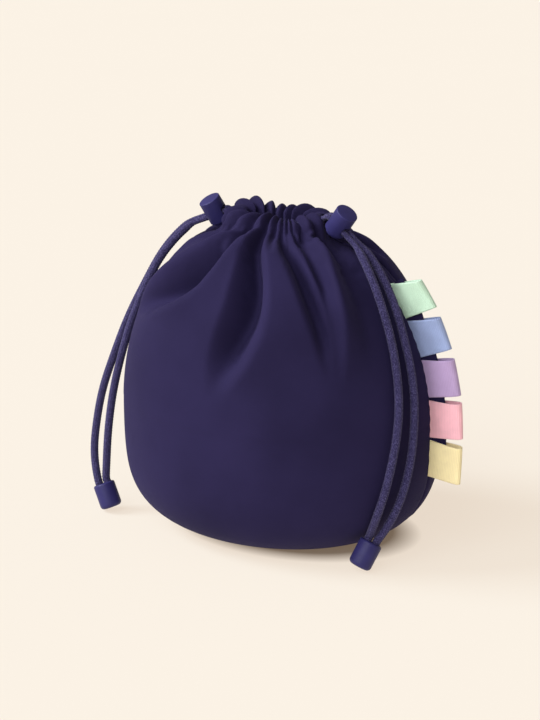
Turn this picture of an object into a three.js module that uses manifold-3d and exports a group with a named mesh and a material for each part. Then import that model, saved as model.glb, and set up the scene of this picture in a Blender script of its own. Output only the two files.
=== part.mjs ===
// Drawstring makeup bag: a gathered two-panel pouch with two drawcords, each with a sprung cord lock
// and a moulded cord end, and a column of ribbon loops sewn into one side seam.
// Millimetres, +Z up, front towards -Y. The origin is on the surface the bag stands on, under its middle.
import * as THREE from 'three';
import { mergeVertices } from 'three/addons/utils/BufferGeometryUtils.js';
import Module from 'manifold-3d';

// Gaps between pieces
const clearance = 0.3;
const slideClearance = 0.2;

// Bag body
const bellyWidth = 180;
const bellyDepth = 146;
const bellyHeight = 67;
const baseWidth = 64;
const shoulderRise = 110;
const lowerFullness = 3.4;
const baseShift = -2.2;
const baseShiftTop = 50;
const fabricWall = 1.6;
const seamY = -2;

// Gathered neck, a stadium in plan, with the cord channel in its hem
const neckFoot = 157.5;
const neckTilt = 5.5;
const neckRise = 13;
const hemTop = 178;
const hemRound = 3.5;
const hemDepth = 12.5;
const neckCore = 12.5;
const neckRadius = 16.5;
const neckFlare = 6;
const sideFlare = 1.5;
const flareFoot = 168;
const flareTop = 176;
const channelRadius = 10.55;
const channelWall = 1;
const exitWidth = 13;
const ruffleRise = 2.2;
const crestRise = 1.5;
const widePuff = 18;
const deepestCrease = 0.8;
const puffFullness = 1.8;
const seamCalmFrom = 16;
const seamCalmTo = 6;
const ridgeSharpness = 0.45;
const hemFoldLoss = 0.8;
const bagColumns = 144;

// Main folds of the panels. Each line runs down from the hem: height, angle in degrees round from +X, and
// rise above the smooth body. Ridges and valleys take turns from one side seam to the other.
const frontFolds = [
  [[176, -20, -1], [164, -21, -4], [153, -26, -5], [140, -27, -4], [125, -28, -2], [105, -30, 0]],
  [
    [176, -35, 1], [165, -35, 4], [155, -39, 6.5], [142, -40, 7],
    [130, -40.5, 6], [117, -43, 3], [104, -44, 0],
  ],
  [[176, -46, -0.5], [166, -47, -2], [159, -47, -3], [149, -45, -2.5], [141, -44.5, 0]],
  [[176, -53, 0.5], [163, -54, 1], [157, -52, 2], [150, -50, 2], [144, -48.5, 0]],
  [
    [176, -64, -1], [164, -66, -4], [159, -58, -6], [148, -58, -6],
    [136, -53, -4], [122, -48.5, -2], [108, -47, 0],
  ],
  [
    [176, -70, 0], [164, -69, 0], [158, -63, 2], [148, -63, 2.5],
    [137, -59, 2], [124, -53, 1], [110, -50, 0],
  ],
  [
    [176, -79, 1], [164, -82, 4.5], [156, -78, 7], [145, -76, 8],
    [133, -76, 7], [120, -78, 5], [102, -84, 0],
  ],
  [
    [176, -89, -1], [164, -88, -5], [158, -85, -7.5], [146, -86, -8],
    [134, -86.5, -7], [120, -88.5, -5], [98, -87, 0],
  ],
  [[158, -94, 3.5], [150, -95.5, 4], [140, -97, 3], [128, -98, 2], [112, -96, 0.8], [100, -94, 0]],
  [
    [176, -101, 1], [165, -103, 4], [160, -99, 5.5], [151, -102, 6],
    [144, -110, 5.5], [136, -124, 3.5], [128, -136, 0],
  ],
  [
    [176, -112, -1], [166, -109, -4], [160, -105, -5], [150, -114, -6],
    [143, -128, -5], [139, -133, -3], [130, -142, 0],
  ],
  [
    [176, -126, 1], [166, -126, 3.5], [158, -129, 5], [149, -139, 4.5],
    [140, -144, 4], [130, -146, 2], [117, -146, 0],
  ],
  [[176, -141, -1], [165, -143, -3.5], [155, -150, -4], [145, -157, -3], [132, -160, -1], [118, -162, 0]],
  [[176, -156, 0.5], [165, -159, 0], [155, -165, 0], [145, -169, 0]],
];
const backFolds = [
  [[176, 12, 0], [164, 13, -2], [150, 17, -3], [130, 20, -1.5], [105, 22, 0]],
  [[176, 32, 1], [164, 32, 1.5], [150, 33, 2], [132, 35, 1.5], [100, 37, 0]],
  [[176, 52, -1], [164, 50, -4], [150, 50, -5], [130, 52, -3], [104, 54, 0]],
  [[176, 65, 1], [164, 66, 4], [150, 69, 5.5], [130, 72, 4], [92, 74, 0]],
  [[176, 78, -1], [164, 80, -4], [150, 84, -5.5], [126, 87, -3], [96, 88, 0]],
  [[176, 94, 1], [164, 96, 4], [150, 100, 6], [128, 103, 4.5], [94, 104, 0]],
  [[176, 111, -1], [164, 113, -4], [150, 117, -5], [132, 120, -3], [106, 121, 0]],
  [[176, 122, 1], [164, 126, 3.5], [150, 132, 4], [134, 136, 2.5], [108, 138, 0]],
  [[176, 132, -1], [164, 140, -2.5], [150, 148, -3], [136, 152, -1.5], [115, 154, 0]],
  [[176, 146, 1], [164, 154, 1], [150, 163, 0.5], [134, 166, 0]],
];

// Puffs of the gathered hem: the middle of each in degrees round from +X, and its size
const puffs = [
  [-166, 0.7], [-150, 1], [-125, 1.3], [-98, 1.3], [-79, 1], [-68, 0.7], [-61, 0.6], [-55, 0.5], [-49, 0.6],
  [-33, 1.3], [-14, 0.7], [14, 0.6], [38, 0.8], [65, 1.2], [88, 0.8], [104, 0.7], [121, 1.3], [145, 1.9],
  [166, 1.5],
];

// Drawcord: round where it hangs free, squeezed thin in the channel and in the lock
const cordDiameter = 4.4;
const squeezedDiameter = 3;
const straightRun = 15;

// Cord lock: barrel with a cross slot, and a sprung plunger that pinches the cord
const lockDiameter = 12;
const lockWall = 1.1;
const lockRim = 2.2;
const lockEndWall = 1.5;
const lockChamfer = 0.5;
const plungerTravel = 1.6;
const plungerTop = 1.3;
const springRoom = 4.6;
const springWire = 0.55;
const springTurns = 3.5;
const lockSlotHeadroom = 1.4;

// Moulded cord end
const endDiameter = 12.3;
const endLength = 14.4;
const endRound = 2.2;
const endBoreDepth = 6;

// Ribbon loops
const ribbonWidth = 20;
const ribbonThickness = 0.8;
const loopReach = 17;
const loopTail = 4.5;
const loopGap = 3;
const loopTailGap = 0.5;
const lowestLoopHeight = 54;
const loopPitch = 21.6;

const colours = {
  fabric: 0x2d2850,
  cord: 0x3a3560,
  plastic: 0x2e2c60,
  steel: 0xb8babf,
  ribbons: { yellow: 0xf3e2a6, pink: 0xf3aab7, lilac: 0xb696d0, blue: 0x98aad8, mint: 0xbeddc3 },
};

// Where each lock sits: the point where the cord crosses the barrel's axis, the way the barrel's closed
// end points, and the way the cord leaves
const lockPlaces = {
  left: { at: [-37, -3, 173], up: [-0.324, -0.393, 0.857], out: [-0.926, -0.041, -0.374] },
  right: { at: [38, -8, 174.3], up: [0.6, -0.16, 0.784], out: [0.779, -0.1, -0.619] },
};

// Where each cord end lies: its middle, the way its mouth points, and the way to its front strand
const endPlaces = {
  left: { at: [-96.2, -27.5, 9], up: [-0.416, 0.073, 0.906], across: [0.79, 0.52, 0.32] },
  right: { at: [69.9, -38.5, 9.1], up: [0.297, 0.434, 0.85], across: [-0.841, -0.302, 0.448] },
};

// Height of each cord in the channel, one cord above the other
const channelLevels = { left: 169.8, right: 173.2 };

// Each cord's way out of the channel, front and back, from the channel to the lock
const exitRoutes = {
  left: {
    front: [[-18, -11, 169.8], [-21.2, -7.6, 169.9], [-24.8, -5.4, 170.6], [-27.6, -4.9, 173]],
    back: [[-18, 7, 169.8], [-21.2, 3.6, 169.9], [-24.8, 1.3, 170.6], [-28, 0, 173.5]],
  },
  right: {
    front: [[18, -11, 173.2], [21.2, -7.6, 173.4], [25.5, -5.6, 175.2], [29.5, -7, 177.2]],
    back: [[18, 7, 173.2], [21.2, 3.6, 173.4], [25.5, 0.4, 175.2], [29.8, -2.6, 177.2]],
  },
};

// The free strands, from the lock to the cord end: the one nearer the front of the lock first
const strandRoutes = {
  left: {
    front: [
      [-58.5, -8, 160], [-65, -10, 152.5], [-71, -12, 143], [-75.5, -13.5, 133], [-80.5, -14.5, 122],
      [-85, -15.5, 111], [-89, -17, 97.5], [-92.5, -18.5, 84], [-95.5, -20.5, 68.5], [-97, -22.5, 53.5],
      [-97.5, -24.5, 41], [-97.5, -25.5, 30],
    ],
    back: [
      [-60, -3, 161.5], [-67, -5, 154], [-73, -7, 144.5], [-78, -9, 134], [-84.5, -11.5, 121],
      [-91, -14, 106], [-97.5, -16, 88], [-103, -18, 72], [-106, -19.5, 58], [-107.5, -21.5, 43],
      [-107.5, -24, 33],
    ],
  },
  right: {
    front: [
      [56, -13.8, 157.5], [63, -17.5, 147.5], [70, -21.3, 135.5], [75.3, -24.3, 124.5], [79.3, -26.5, 112.5],
      [82.3, -29, 101], [84.3, -31.3, 88.5], [84.6, -33.8, 75], [83.2, -36.5, 60], [80.5, -39, 43.5],
      [76, -39.5, 29.5],
    ],
    back: [
      [57.5, -6.5, 157.8], [65, -9.8, 148.5], [71.5, -12.3, 139], [76.8, -15.5, 129], [81.8, -18.3, 117],
      [85.6, -19.6, 105], [88.4, -21.4, 91], [89.4, -23.4, 78], [89.2, -25.6, 61], [86.6, -28.6, 43],
      [82, -32, 28],
    ],
  },
};

const wasm = await Module();
wasm.setup();

// Solids

function toSolid(geometry, matrix = new THREE.Matrix4()) {
  const bare = geometry.clone().applyMatrix4(matrix);
  bare.deleteAttribute('normal');
  bare.deleteAttribute('uv');
  const merged = mergeVertices(bare, 1e-4);
  const triangles = [];
  for (let i = 0; i < merged.index.count; i += 3) {
    const corners = [0, 1, 2].map((k) => merged.index.getX(i + k));
    if (new Set(corners).size === 3) triangles.push(...corners);
  }
  const vertProperties = new Float32Array(merged.attributes.position.array);
  const triVerts = new Uint32Array(triangles);
  return new wasm.Manifold(new wasm.Mesh({ numProp: 3, vertProperties, triVerts }));
}

function toGeometry(solid) {
  const mesh = solid.getMesh();
  const geometry = new THREE.BufferGeometry();
  geometry.setAttribute('position', new THREE.BufferAttribute(new Float32Array(mesh.vertProperties), 3));
  geometry.setIndex(new THREE.BufferAttribute(new Uint32Array(mesh.triVerts), 1));
  geometry.computeVertexNormals();
  return geometry;
}

function boxBetween(low, high) {
  const size = high.map((value, i) => value - low[i]);
  const middle = high.map((value, i) => (value + low[i]) / 2);
  return new THREE.BoxGeometry(...size).translate(...middle);
}

function namedMesh(name, geometry, colour, roughness = 0.8, metalness = 0) {
  const material = new THREE.MeshStandardMaterial({ color: colour, roughness, metalness });
  const mesh = new THREE.Mesh(geometry, material);
  mesh.name = name;
  return mesh;
}

// A turned solid: its profile is given as radius and height, and its axis is Z
function turned(profile, sides = 24) {
  const points = profile.map(([radius, height]) => new THREE.Vector2(radius, height));
  return new THREE.LatheGeometry(points, sides).rotateX(Math.PI / 2);
}

function roundSection(diameter, sides = 8) {
  const points = [];
  for (let i = 0; i < sides; i++) {
    const angle = (2 * Math.PI * i) / sides;
    points.push(new THREE.Vector2((Math.cos(angle) * diameter) / 2, (Math.sin(angle) * diameter) / 2));
  }
  return new THREE.Shape(points);
}

function tubeAlong(path, diameter, steps, sides = 8) {
  const options = { steps, extrudePath: path, bevelEnabled: false };
  return new THREE.ExtrudeGeometry(roundSection(diameter, sides), options);
}

// A frame with Z along up, X along out, and its origin at a point
function frameAt(at, up, out) {
  const z = new THREE.Vector3(...up).normalize();
  const y = new THREE.Vector3().crossVectors(z, new THREE.Vector3(...out)).normalize();
  const x = new THREE.Vector3().crossVectors(y, z);
  return new THREE.Matrix4().makeBasis(x, y, z).setPosition(...at);
}

function groupAt(matrix) {
  const group = new THREE.Group();
  matrix.decompose(group.position, group.quaternion, group.scale);
  return group;
}

// Bag surface

const smoothstep = (x, low, high) => THREE.MathUtils.smoothstep(x, low, high);

const baseRatio = baseWidth / bellyWidth;
const lowerHeight = bellyHeight / (1 - baseRatio ** lowerFullness) ** (1 / lowerFullness);

function bodyRatio(z) {
  if (z < bellyHeight) {
    const drop = Math.min((bellyHeight - z) / lowerHeight, 1);
    return (1 - drop ** lowerFullness) ** (1 / lowerFullness);
  }
  const rise = Math.min((z - bellyHeight) / shoulderRise, 1);
  return Math.sqrt(1 - rise * rise);
}

// The stadium of a given radius about the neck's core, at an even share of its length round from +X
function stadiumPoint(angle, radius) {
  const turn = THREE.MathUtils.euclideanModulo(angle, 2 * Math.PI);
  const mirrorX = turn > Math.PI / 2 && turn < 1.5 * Math.PI ? -1 : 1;
  const mirrorY = turn > Math.PI ? -1 : 1;
  const folded = Math.asin(Math.min(Math.abs(Math.sin(turn)), 1));
  const quarterArc = (Math.PI / 2) * radius;
  const along = (folded / (Math.PI / 2)) * (quarterArc + neckCore);
  const arc = Math.min(along, quarterArc) / radius;
  const straight = Math.max(along - quarterArc, 0);
  return [mirrorX * (neckCore + radius * Math.cos(arc) - straight), mirrorY * radius * Math.sin(arc)];
}

// The body draws in to the neck, a little lower at the side seams than at the front and the back
function smoothPoint(angle, z) {
  const ratio = bodyRatio(z);
  const foot = neckFoot + neckTilt * Math.sin(angle) ** 2;
  const blend = smoothstep(z, foot, foot + neckRise);
  const flare = THREE.MathUtils.lerp(sideFlare, neckFlare, Math.sin(angle) ** 2);
  const [neckX, neckY] = stadiumPoint(angle, neckRadius + flare * (1 - smoothstep(z, flareFoot, flareTop)));
  const shift = baseShift * (1 - smoothstep(z, 0, baseShiftTop));
  const x = THREE.MathUtils.lerp((bellyWidth / 2) * ratio * Math.cos(angle), neckX, blend);
  const y = THREE.MathUtils.lerp((bellyDepth / 2) * ratio * Math.sin(angle), neckY, blend);
  return new THREE.Vector3(x + shift, y + seamY * smoothstep(z, bellyHeight, neckFoot), z);
}

function outwardNormal(angle, z) {
  const step = 0.01;
  const round = smoothPoint(angle + step, z).sub(smoothPoint(angle - step, z));
  const rise = smoothPoint(angle, z + step).sub(smoothPoint(angle, Math.max(z - step, 0)));
  return round.cross(rise).normalize();
}

// Angle and rise of a fold line at a height
function lineAt(line, z) {
  const top = line[0];
  const foot = line[line.length - 1];
  if (z >= top[0]) return [top[1], top[2]];
  if (z <= foot[0]) return [foot[1], 0];
  const i = line.findIndex(([height]) => height <= z);
  const share = (line[i - 1][0] - z) / (line[i - 1][0] - line[i][0]);
  return [1, 2].map((k) => THREE.MathUtils.lerp(line[i - 1][k], line[i][k], share));
}

// The folds all the way round: knots at the ridges and valleys, with eased flanks between
function foldRise(degrees, z) {
  const folds = degrees > 0 ? backFolds : frontFolds;
  const knots = [[0, 0], [degrees > 0 ? 180 : -180, 0], ...folds.map((line) => lineAt(line, z))];
  knots.sort((a, b) => a[0] - b[0]);
  const after = Math.max(knots.findIndex(([angle]) => angle >= degrees), 1);
  const [from, to] = [knots[after - 1], knots[after]];
  const share = (degrees - from[0]) / (to[0] - from[0] || 1);
  const fromRidge = from[1] > to[1] ? share : 1 - share;
  const round = (1 - Math.cos(Math.PI * fromRidge)) / 2;
  const sharp = Math.sin((Math.PI / 2) * fromRidge);
  const eased = THREE.MathUtils.lerp(round, sharp, ridgeSharpness);
  return THREE.MathUtils.lerp(Math.max(from[1], to[1]), Math.min(from[1], to[1]), eased);
}

// From a puff's size at its middle down to the creases beside it, and nothing at the side seams
function ruffle(degrees) {
  const distances = puffs.map(([middle]) => Math.abs(degrees - middle));
  const i = distances.indexOf(Math.min(...distances));
  const [middle, size] = puffs[i];
  const neighbour = puffs[degrees < middle ? i - 1 : i + 1];
  const spacing = Math.abs((neighbour ? neighbour[0] : 180) - middle);
  const depth = Math.min(spacing / widePuff, 1) * deepestCrease;
  const share = Math.min(distances[i] / (spacing / 2), 1);
  const seamDistance = Math.min(Math.abs(degrees), 180 - Math.abs(degrees));
  return (size - (depth + size) * share ** puffFullness) * smoothstep(seamDistance, seamCalmTo, seamCalmFrom);
}

const toDegrees = (angle) => THREE.MathUtils.euclideanModulo((angle * 180) / Math.PI + 180, 360) - 180;

const hemShoulder = hemTop - hemRound;

// The folds of the body pass into the puffs of the hem
function fabricPoint(angle, z, inset) {
  const degrees = toDegrees(angle);
  const folds = foldRise(degrees, z) * (1 - hemFoldLoss * smoothstep(z, neckFoot + neckTilt, hemShoulder));
  const gathers = ruffleRise * ruffle(degrees) * smoothstep(z, neckFoot - neckTilt, hemShoulder);
  return smoothPoint(angle, z).addScaledVector(outwardNormal(angle, z), folds + gathers - inset);
}

const channelHalfWidth = squeezedDiameter / 2 + clearance;
const neckInnerRadius = channelRadius - channelHalfWidth - channelWall;

function hemInnerPoint(angle, z) {
  const [x, y] = stadiumPoint(angle, neckInnerRadius);
  return new THREE.Vector3(x, y + seamY, z);
}

// The hem rolls over its crest from the outside to the inside
function hemCrestPoint(angle, turn) {
  const inner = hemInnerPoint(angle, hemShoulder);
  const outer = fabricPoint(angle, hemShoulder, 0);
  const crest = hemRound + crestRise * ruffle(toDegrees(angle));
  const point = outer.lerp(inner, (1 - Math.cos(turn)) / 2);
  return point.setZ(point.z + crest * Math.sin(turn));
}

function ringOf(pointAt) {
  return Array.from({ length: bagColumns }, (_, j) => pointAt((2 * Math.PI * j) / bagColumns));
}

// Heights an even step apart along the middle of the front
function evenHeights(low, high, count) {
  const fineSteps = 200;
  const samples = [];
  for (let i = 0; i <= fineSteps; i++) samples.push(THREE.MathUtils.lerp(low, high, i / fineSteps));
  const lengths = [0];
  for (let i = 1; i < samples.length; i++) {
    const step = smoothPoint(-Math.PI / 2, samples[i]).distanceTo(smoothPoint(-Math.PI / 2, samples[i - 1]));
    lengths.push(lengths[i - 1] + step);
  }
  const total = lengths[lengths.length - 1];
  return Array.from({ length: count }, (_, k) => {
    const i = lengths.findIndex((length) => length >= (total * k) / (count - 1) - 1e-9);
    return samples[i];
  });
}

function bagRings() {
  const lowerRows = 9;
  const upperRows = 22;
  const crestRows = 4;
  const innerRows = 12;
  const crowding = 1.8;
  const rings = [];
  const outer = (z) => rings.push(ringOf((angle) => fabricPoint(angle, z, 0)));
  const inner = (z) => rings.push(ringOf((angle) => fabricPoint(angle, z, fabricWall)));
  for (let i = 0; i < lowerRows; i++) outer(bellyHeight * (i / lowerRows) ** crowding);
  evenHeights(bellyHeight, hemShoulder, upperRows).forEach(outer);
  for (let i = 1; i <= crestRows; i++) {
    rings.push(ringOf((angle) => hemCrestPoint(angle, (Math.PI * i) / crestRows)));
  }
  rings.push(ringOf((angle) => hemInnerPoint(angle, hemTop - hemDepth)));
  const innerBottom = 4 * fabricWall;
  for (let i = 0; i <= innerRows; i++) {
    inner(innerBottom + (neckFoot - innerBottom) * Math.cos((Math.PI / 2) * (i / innerRows)));
  }
  rings.push(ringOf((angle) => smoothPoint(angle, 0).setZ(fabricWall)));
  return rings;
}

// A closed skin through a stack of rings, with a fan over the first and the last
function skinOver(rings, firstMiddle, lastMiddle) {
  const columns = rings[0].length;
  const positions = [...rings.flat(), firstMiddle, lastMiddle].flatMap((p) => p.toArray());
  const first = rings.length * columns;
  const last = first + 1;
  const index = [];
  for (let j = 0; j < columns; j++) {
    const next = (j + 1) % columns;
    for (let i = 0; i + 1 < rings.length; i++) {
      const [low, high] = [i * columns, (i + 1) * columns];
      index.push(low + j, low + next, high + next);
      index.push(low + j, high + next, high + j);
    }
    const top = (rings.length - 1) * columns;
    index.push(first, next, j);
    index.push(last, top + j, top + next);
  }
  const geometry = new THREE.BufferGeometry();
  geometry.setAttribute('position', new THREE.Float32BufferAttribute(positions, 3));
  geometry.setIndex(index);
  return geometry;
}

function stadiumOutline(radius, PathType) {
  const outline = new PathType();
  outline.absarc(neckCore, 0, radius, -Math.PI / 2, Math.PI / 2, false);
  outline.absarc(-neckCore, 0, radius, Math.PI / 2, 1.5 * Math.PI, false);
  return outline;
}

const channelLow = Math.min(channelLevels.left, channelLevels.right) - channelHalfWidth;
const channelHigh = Math.max(channelLevels.left, channelLevels.right) + channelHalfWidth;

function channelGeometry() {
  const ring = stadiumOutline(channelRadius + channelHalfWidth, THREE.Shape);
  ring.holes.push(stadiumOutline(channelRadius - channelHalfWidth, THREE.Path));
  const options = { depth: channelHigh - channelLow, bevelEnabled: false, curveSegments: 16 };
  return new THREE.ExtrudeGeometry(ring, options).translate(0, seamY, channelLow);
}

// The hem is open at each side seam, where the cord comes out
function exitGeometry(side) {
  const near = neckCore + channelRadius - channelHalfWidth;
  const far = Math.abs(smoothPoint(0, channelLow).x) + ruffleRise;
  const [low, high] = side > 0 ? [near, far] : [-far, -near];
  const halfWidth = exitWidth / 2;
  return boxBetween([low, seamY - halfWidth, channelLow], [high, seamY + halfWidth, hemTop + 2 * crestRise]);
}

// Ribbon loops

// Frames on the right side seam, a set distance apart along it: X out of the bag, Z up the seam
function loopFrames(count) {
  const frames = [];
  const step = 0.1;
  let travelled = 0;
  for (let z = lowestLoopHeight; frames.length < count; z += step) {
    const here = smoothPoint(0, z);
    const next = smoothPoint(0, z + step);
    if (travelled >= frames.length * loopPitch) {
      const up = next.clone().sub(here).setY(0).normalize();
      const out = new THREE.Vector3(up.z, 0, -up.x);
      frames.push(frameAt([here.x, seamY, here.z], up.toArray(), out.toArray()));
    }
    travelled += next.distanceTo(here);
  }
  return frames;
}

function loopGeometry() {
  const tailInner = loopTailGap / 2;
  const tailOuter = tailInner + ribbonThickness;
  const bulgeInner = loopGap / 2;
  const bulgeOuter = bulgeInner + ribbonThickness;
  const bend = loopReach - bulgeOuter;
  const waist = loopReach / 8;
  const middle = (waist + bend) / 2;
  const band = new THREE.Shape();
  band.moveTo(-loopTail, tailOuter);
  band.lineTo(-loopTail, tailInner);
  band.lineTo(waist, tailInner);
  band.bezierCurveTo(middle, tailInner, middle, bulgeInner, bend, bulgeInner);
  band.absarc(bend, 0, bulgeInner, Math.PI / 2, -Math.PI / 2, true);
  band.bezierCurveTo(middle, -bulgeInner, middle, -tailInner, waist, -tailInner);
  band.lineTo(-loopTail, -tailInner);
  band.lineTo(-loopTail, -tailOuter);
  band.lineTo(waist, -tailOuter);
  band.bezierCurveTo(middle, -tailOuter, middle, -bulgeOuter, bend, -bulgeOuter);
  band.absarc(bend, 0, bulgeOuter, -Math.PI / 2, Math.PI / 2, false);
  band.bezierCurveTo(middle, bulgeOuter, middle, tailOuter, waist, tailOuter);
  const options = { depth: ribbonWidth, bevelEnabled: false, curveSegments: 6 };
  const ribbon = new THREE.ExtrudeGeometry(band, options).translate(0, 0, -ribbonWidth / 2);
  return toGeometry(toSolid(ribbon));
}

function loopSlotGeometry() {
  const halfThickness = loopTailGap / 2 + ribbonThickness + clearance;
  const halfWidth = ribbonWidth / 2 + clearance;
  const reach = loopTail + clearance;
  return boxBetween([-reach, -halfThickness, -halfWidth], [loopTail, halfThickness, halfWidth]);
}

const ribbonNames = Object.keys(colours.ribbons);
const ribbonFrames = loopFrames(ribbonNames.length);

// Panels

function bagPanels() {
  const skin = skinOver(bagRings(), new THREE.Vector3(), new THREE.Vector3(0, 0, fabricWall));
  let shell = toSolid(skin).subtract(toSolid(channelGeometry()));
  for (const side of [-1, 1]) shell = shell.subtract(toSolid(exitGeometry(side)));
  for (const frame of ribbonFrames) shell = shell.subtract(toSolid(loopSlotGeometry(), frame));
  const reach = bellyWidth;
  const seamHalf = clearance / 2;
  const frontHalf = boxBetween([-reach, -reach, -reach], [reach, seamY - seamHalf, 2 * reach]);
  const backHalf = boxBetween([-reach, seamY + seamHalf, -reach], [reach, reach, 2 * reach]);
  return [
    namedMesh('front_panel', toGeometry(shell.intersect(toSolid(frontHalf))), colours.fabric, 0.75),
    namedMesh('back_panel', toGeometry(shell.intersect(toSolid(backHalf))), colours.fabric, 0.75),
  ];
}

function ribbonLoops() {
  return ribbonNames.map((name, i) => {
    const loop = namedMesh(`${name}_loop`, loopGeometry(), colours.ribbons[name], 0.7);
    const group = groupAt(ribbonFrames[i]);
    group.add(loop);
    return group;
  });
}

// Cord locks, in a frame whose origin is where the cord crosses the barrel:
// Z to the closed end, X with the cord

const pinchHalf = squeezedDiameter / 2 + clearance;
const strandOffset = squeezedDiameter / 2 + clearance / 2;
const slotHalfWidth = strandOffset + squeezedDiameter / 2 + clearance;
const lockRadius = lockDiameter / 2;
const boreRadius = lockRadius - lockWall;
const plungerRadius = boreRadius - slideClearance;
const barrelMouth = -pinchHalf - lockRim;
const plungerCrown = pinchHalf + plungerTop;
const boreEnd = plungerCrown + springRoom;
const barrelEnd = boreEnd + lockEndWall;
const plungerFoot = barrelMouth - plungerTravel - slideClearance;

function crossSlot(low, high) {
  return boxBetween([-lockDiameter, -slotHalfWidth, low], [lockDiameter, slotHalfWidth, high]);
}

function barrelGeometry() {
  const profile = [
    [0, boreEnd], [boreRadius, boreEnd], [boreRadius, barrelMouth], [lockRadius - lockChamfer, barrelMouth],
    [lockRadius, barrelMouth + lockChamfer], [lockRadius, barrelEnd - lockChamfer],
    [lockRadius - lockChamfer, barrelEnd], [0, barrelEnd],
  ];
  const slot = crossSlot(-pinchHalf, pinchHalf + lockSlotHeadroom);
  return toGeometry(toSolid(turned(profile)).subtract(toSolid(slot)));
}

function plungerGeometry() {
  const profile = [
    [0, plungerFoot], [plungerRadius - lockChamfer, plungerFoot], [plungerRadius, plungerFoot + lockChamfer],
    [plungerRadius, plungerCrown], [0, plungerCrown],
  ];
  const slot = crossSlot(-pinchHalf - plungerTravel - slideClearance, pinchHalf);
  return toGeometry(toSolid(turned(profile)).subtract(toSolid(slot)));
}

class Helix extends THREE.Curve {
  constructor(radius, low, high, turns) {
    super();
    Object.assign(this, { radius, low, high, turns });
  }

  getPoint(share, target = new THREE.Vector3()) {
    const angle = 2 * Math.PI * this.turns * share;
    const z = THREE.MathUtils.lerp(this.low, this.high, share);
    return target.set(this.radius * Math.cos(angle), this.radius * Math.sin(angle), z);
  }
}

function springGeometry() {
  const seat = springWire / 2 + clearance / 2;
  const radius = boreRadius - springWire / 2 - 2 * clearance;
  const helix = new Helix(radius, plungerCrown + seat, boreEnd - seat, springTurns);
  return tubeAlong(helix, springWire, Math.round(springTurns * 10), 5);
}

const lockFrames = {};
for (const [side, place] of Object.entries(lockPlaces)) {
  lockFrames[side] = frameAt(place.at, place.up, place.out);
}

function cordLock(side) {
  const group = groupAt(lockFrames[side]);
  group.add(namedMesh(`${side}_lock_barrel`, barrelGeometry(), colours.plastic, 0.5));
  group.add(namedMesh(`${side}_lock_plunger`, plungerGeometry(), colours.plastic, 0.5));
  group.add(namedMesh(`${side}_lock_spring`, springGeometry(), colours.steel, 0.3, 1));
  return group;
}

// Cord ends, in a frame whose origin is the middle: Z out of the mouth, X along the line of the two strands

const endStrandOffset = cordDiameter / 2 + clearance / 2;
const endFrames = {};
for (const [side, place] of Object.entries(endPlaces)) {
  endFrames[side] = frameAt(place.at, place.up, place.across);
}

function endBoreGeometry() {
  const radius = cordDiameter / 2 + clearance;
  const outline = new THREE.Shape();
  outline.absarc(endStrandOffset, 0, radius, -Math.PI / 2, Math.PI / 2, false);
  outline.absarc(-endStrandOffset, 0, radius, Math.PI / 2, 1.5 * Math.PI, false);
  const options = { depth: endLength, bevelEnabled: false, curveSegments: 8 };
  return new THREE.ExtrudeGeometry(outline, options).translate(0, 0, endLength / 2 - endBoreDepth);
}

function cordEnd(side) {
  const radius = endDiameter / 2;
  const half = endLength / 2;
  const corner = (angle, sign) => [
    radius - endRound + endRound * Math.cos(angle),
    sign * (half - endRound + endRound * Math.sin(angle)),
  ];
  const angles = [Math.PI / 2, Math.PI / 3, Math.PI / 6, 0];
  const lower = angles.map((angle) => corner(angle, -1));
  const upper = [...angles].reverse().map((angle) => corner(angle, 1));
  const body = turned([[0, -half], ...lower, ...upper, [0, half]]);
  const geometry = toGeometry(toSolid(body).subtract(toSolid(endBoreGeometry())));
  const group = groupAt(endFrames[side]);
  group.add(namedMesh(`${side}_cord_end`, geometry, colours.plastic, 0.5));
  return group;
}

// Cords

// Which way along a lock's Y, the line of its two strands, a strand lies: front or back
function strandSign(frame, which) {
  const direction = new THREE.Vector3().setFromMatrixColumn(frame, 1);
  return direction.y < 0 === (which === 'front') ? 1 : -1;
}

function curveThrough(points) {
  return new THREE.CatmullRomCurve3(points, false, 'centripetal');
}

const vectors = (list) => list.map((point) => new THREE.Vector3(...point));

// The stretch that one lock holds, from its outer side to the channel, for the front or the back strand
function heldStretch(side, which) {
  const frame = lockFrames[side];
  const sign = strandSign(frame, which);
  const stations = [straightRun, straightRun * 0.7, straightRun * 0.35, 0, -lockRadius - 2 * clearance];
  const inLock = stations.map((x) => new THREE.Vector3(x, sign * strandOffset, 0).applyMatrix4(frame));
  return [...inLock, ...vectors(exitRoutes[side][which]).reverse()];
}

// One cord runs from its lock, round the channel past the other side, and back to its lock
function channelCord(side) {
  const toFarSide = side === 'left' ? 1 : -1;
  const level = channelLevels[side];
  const round = [];
  for (const x of [-neckCore, 0]) round.push([toFarSide * x, seamY - channelRadius, level]);
  for (let i = 0; i <= 4; i++) {
    const angle = -Math.PI / 2 + (Math.PI * i) / 4;
    const x = neckCore + channelRadius * Math.cos(angle);
    round.push([toFarSide * x, seamY + channelRadius * Math.sin(angle), level]);
  }
  for (const x of [0, -neckCore]) round.push([toFarSide * x, seamY + channelRadius, level]);
  const back = heldStretch(side, 'back').reverse();
  const path = curveThrough([...heldStretch(side, 'front'), ...vectors(round), ...back]);
  return namedMesh(`${side}_cord_in_channel`, tubeAlong(path, squeezedDiameter, 52), colours.cord, 0.9);
}

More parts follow.
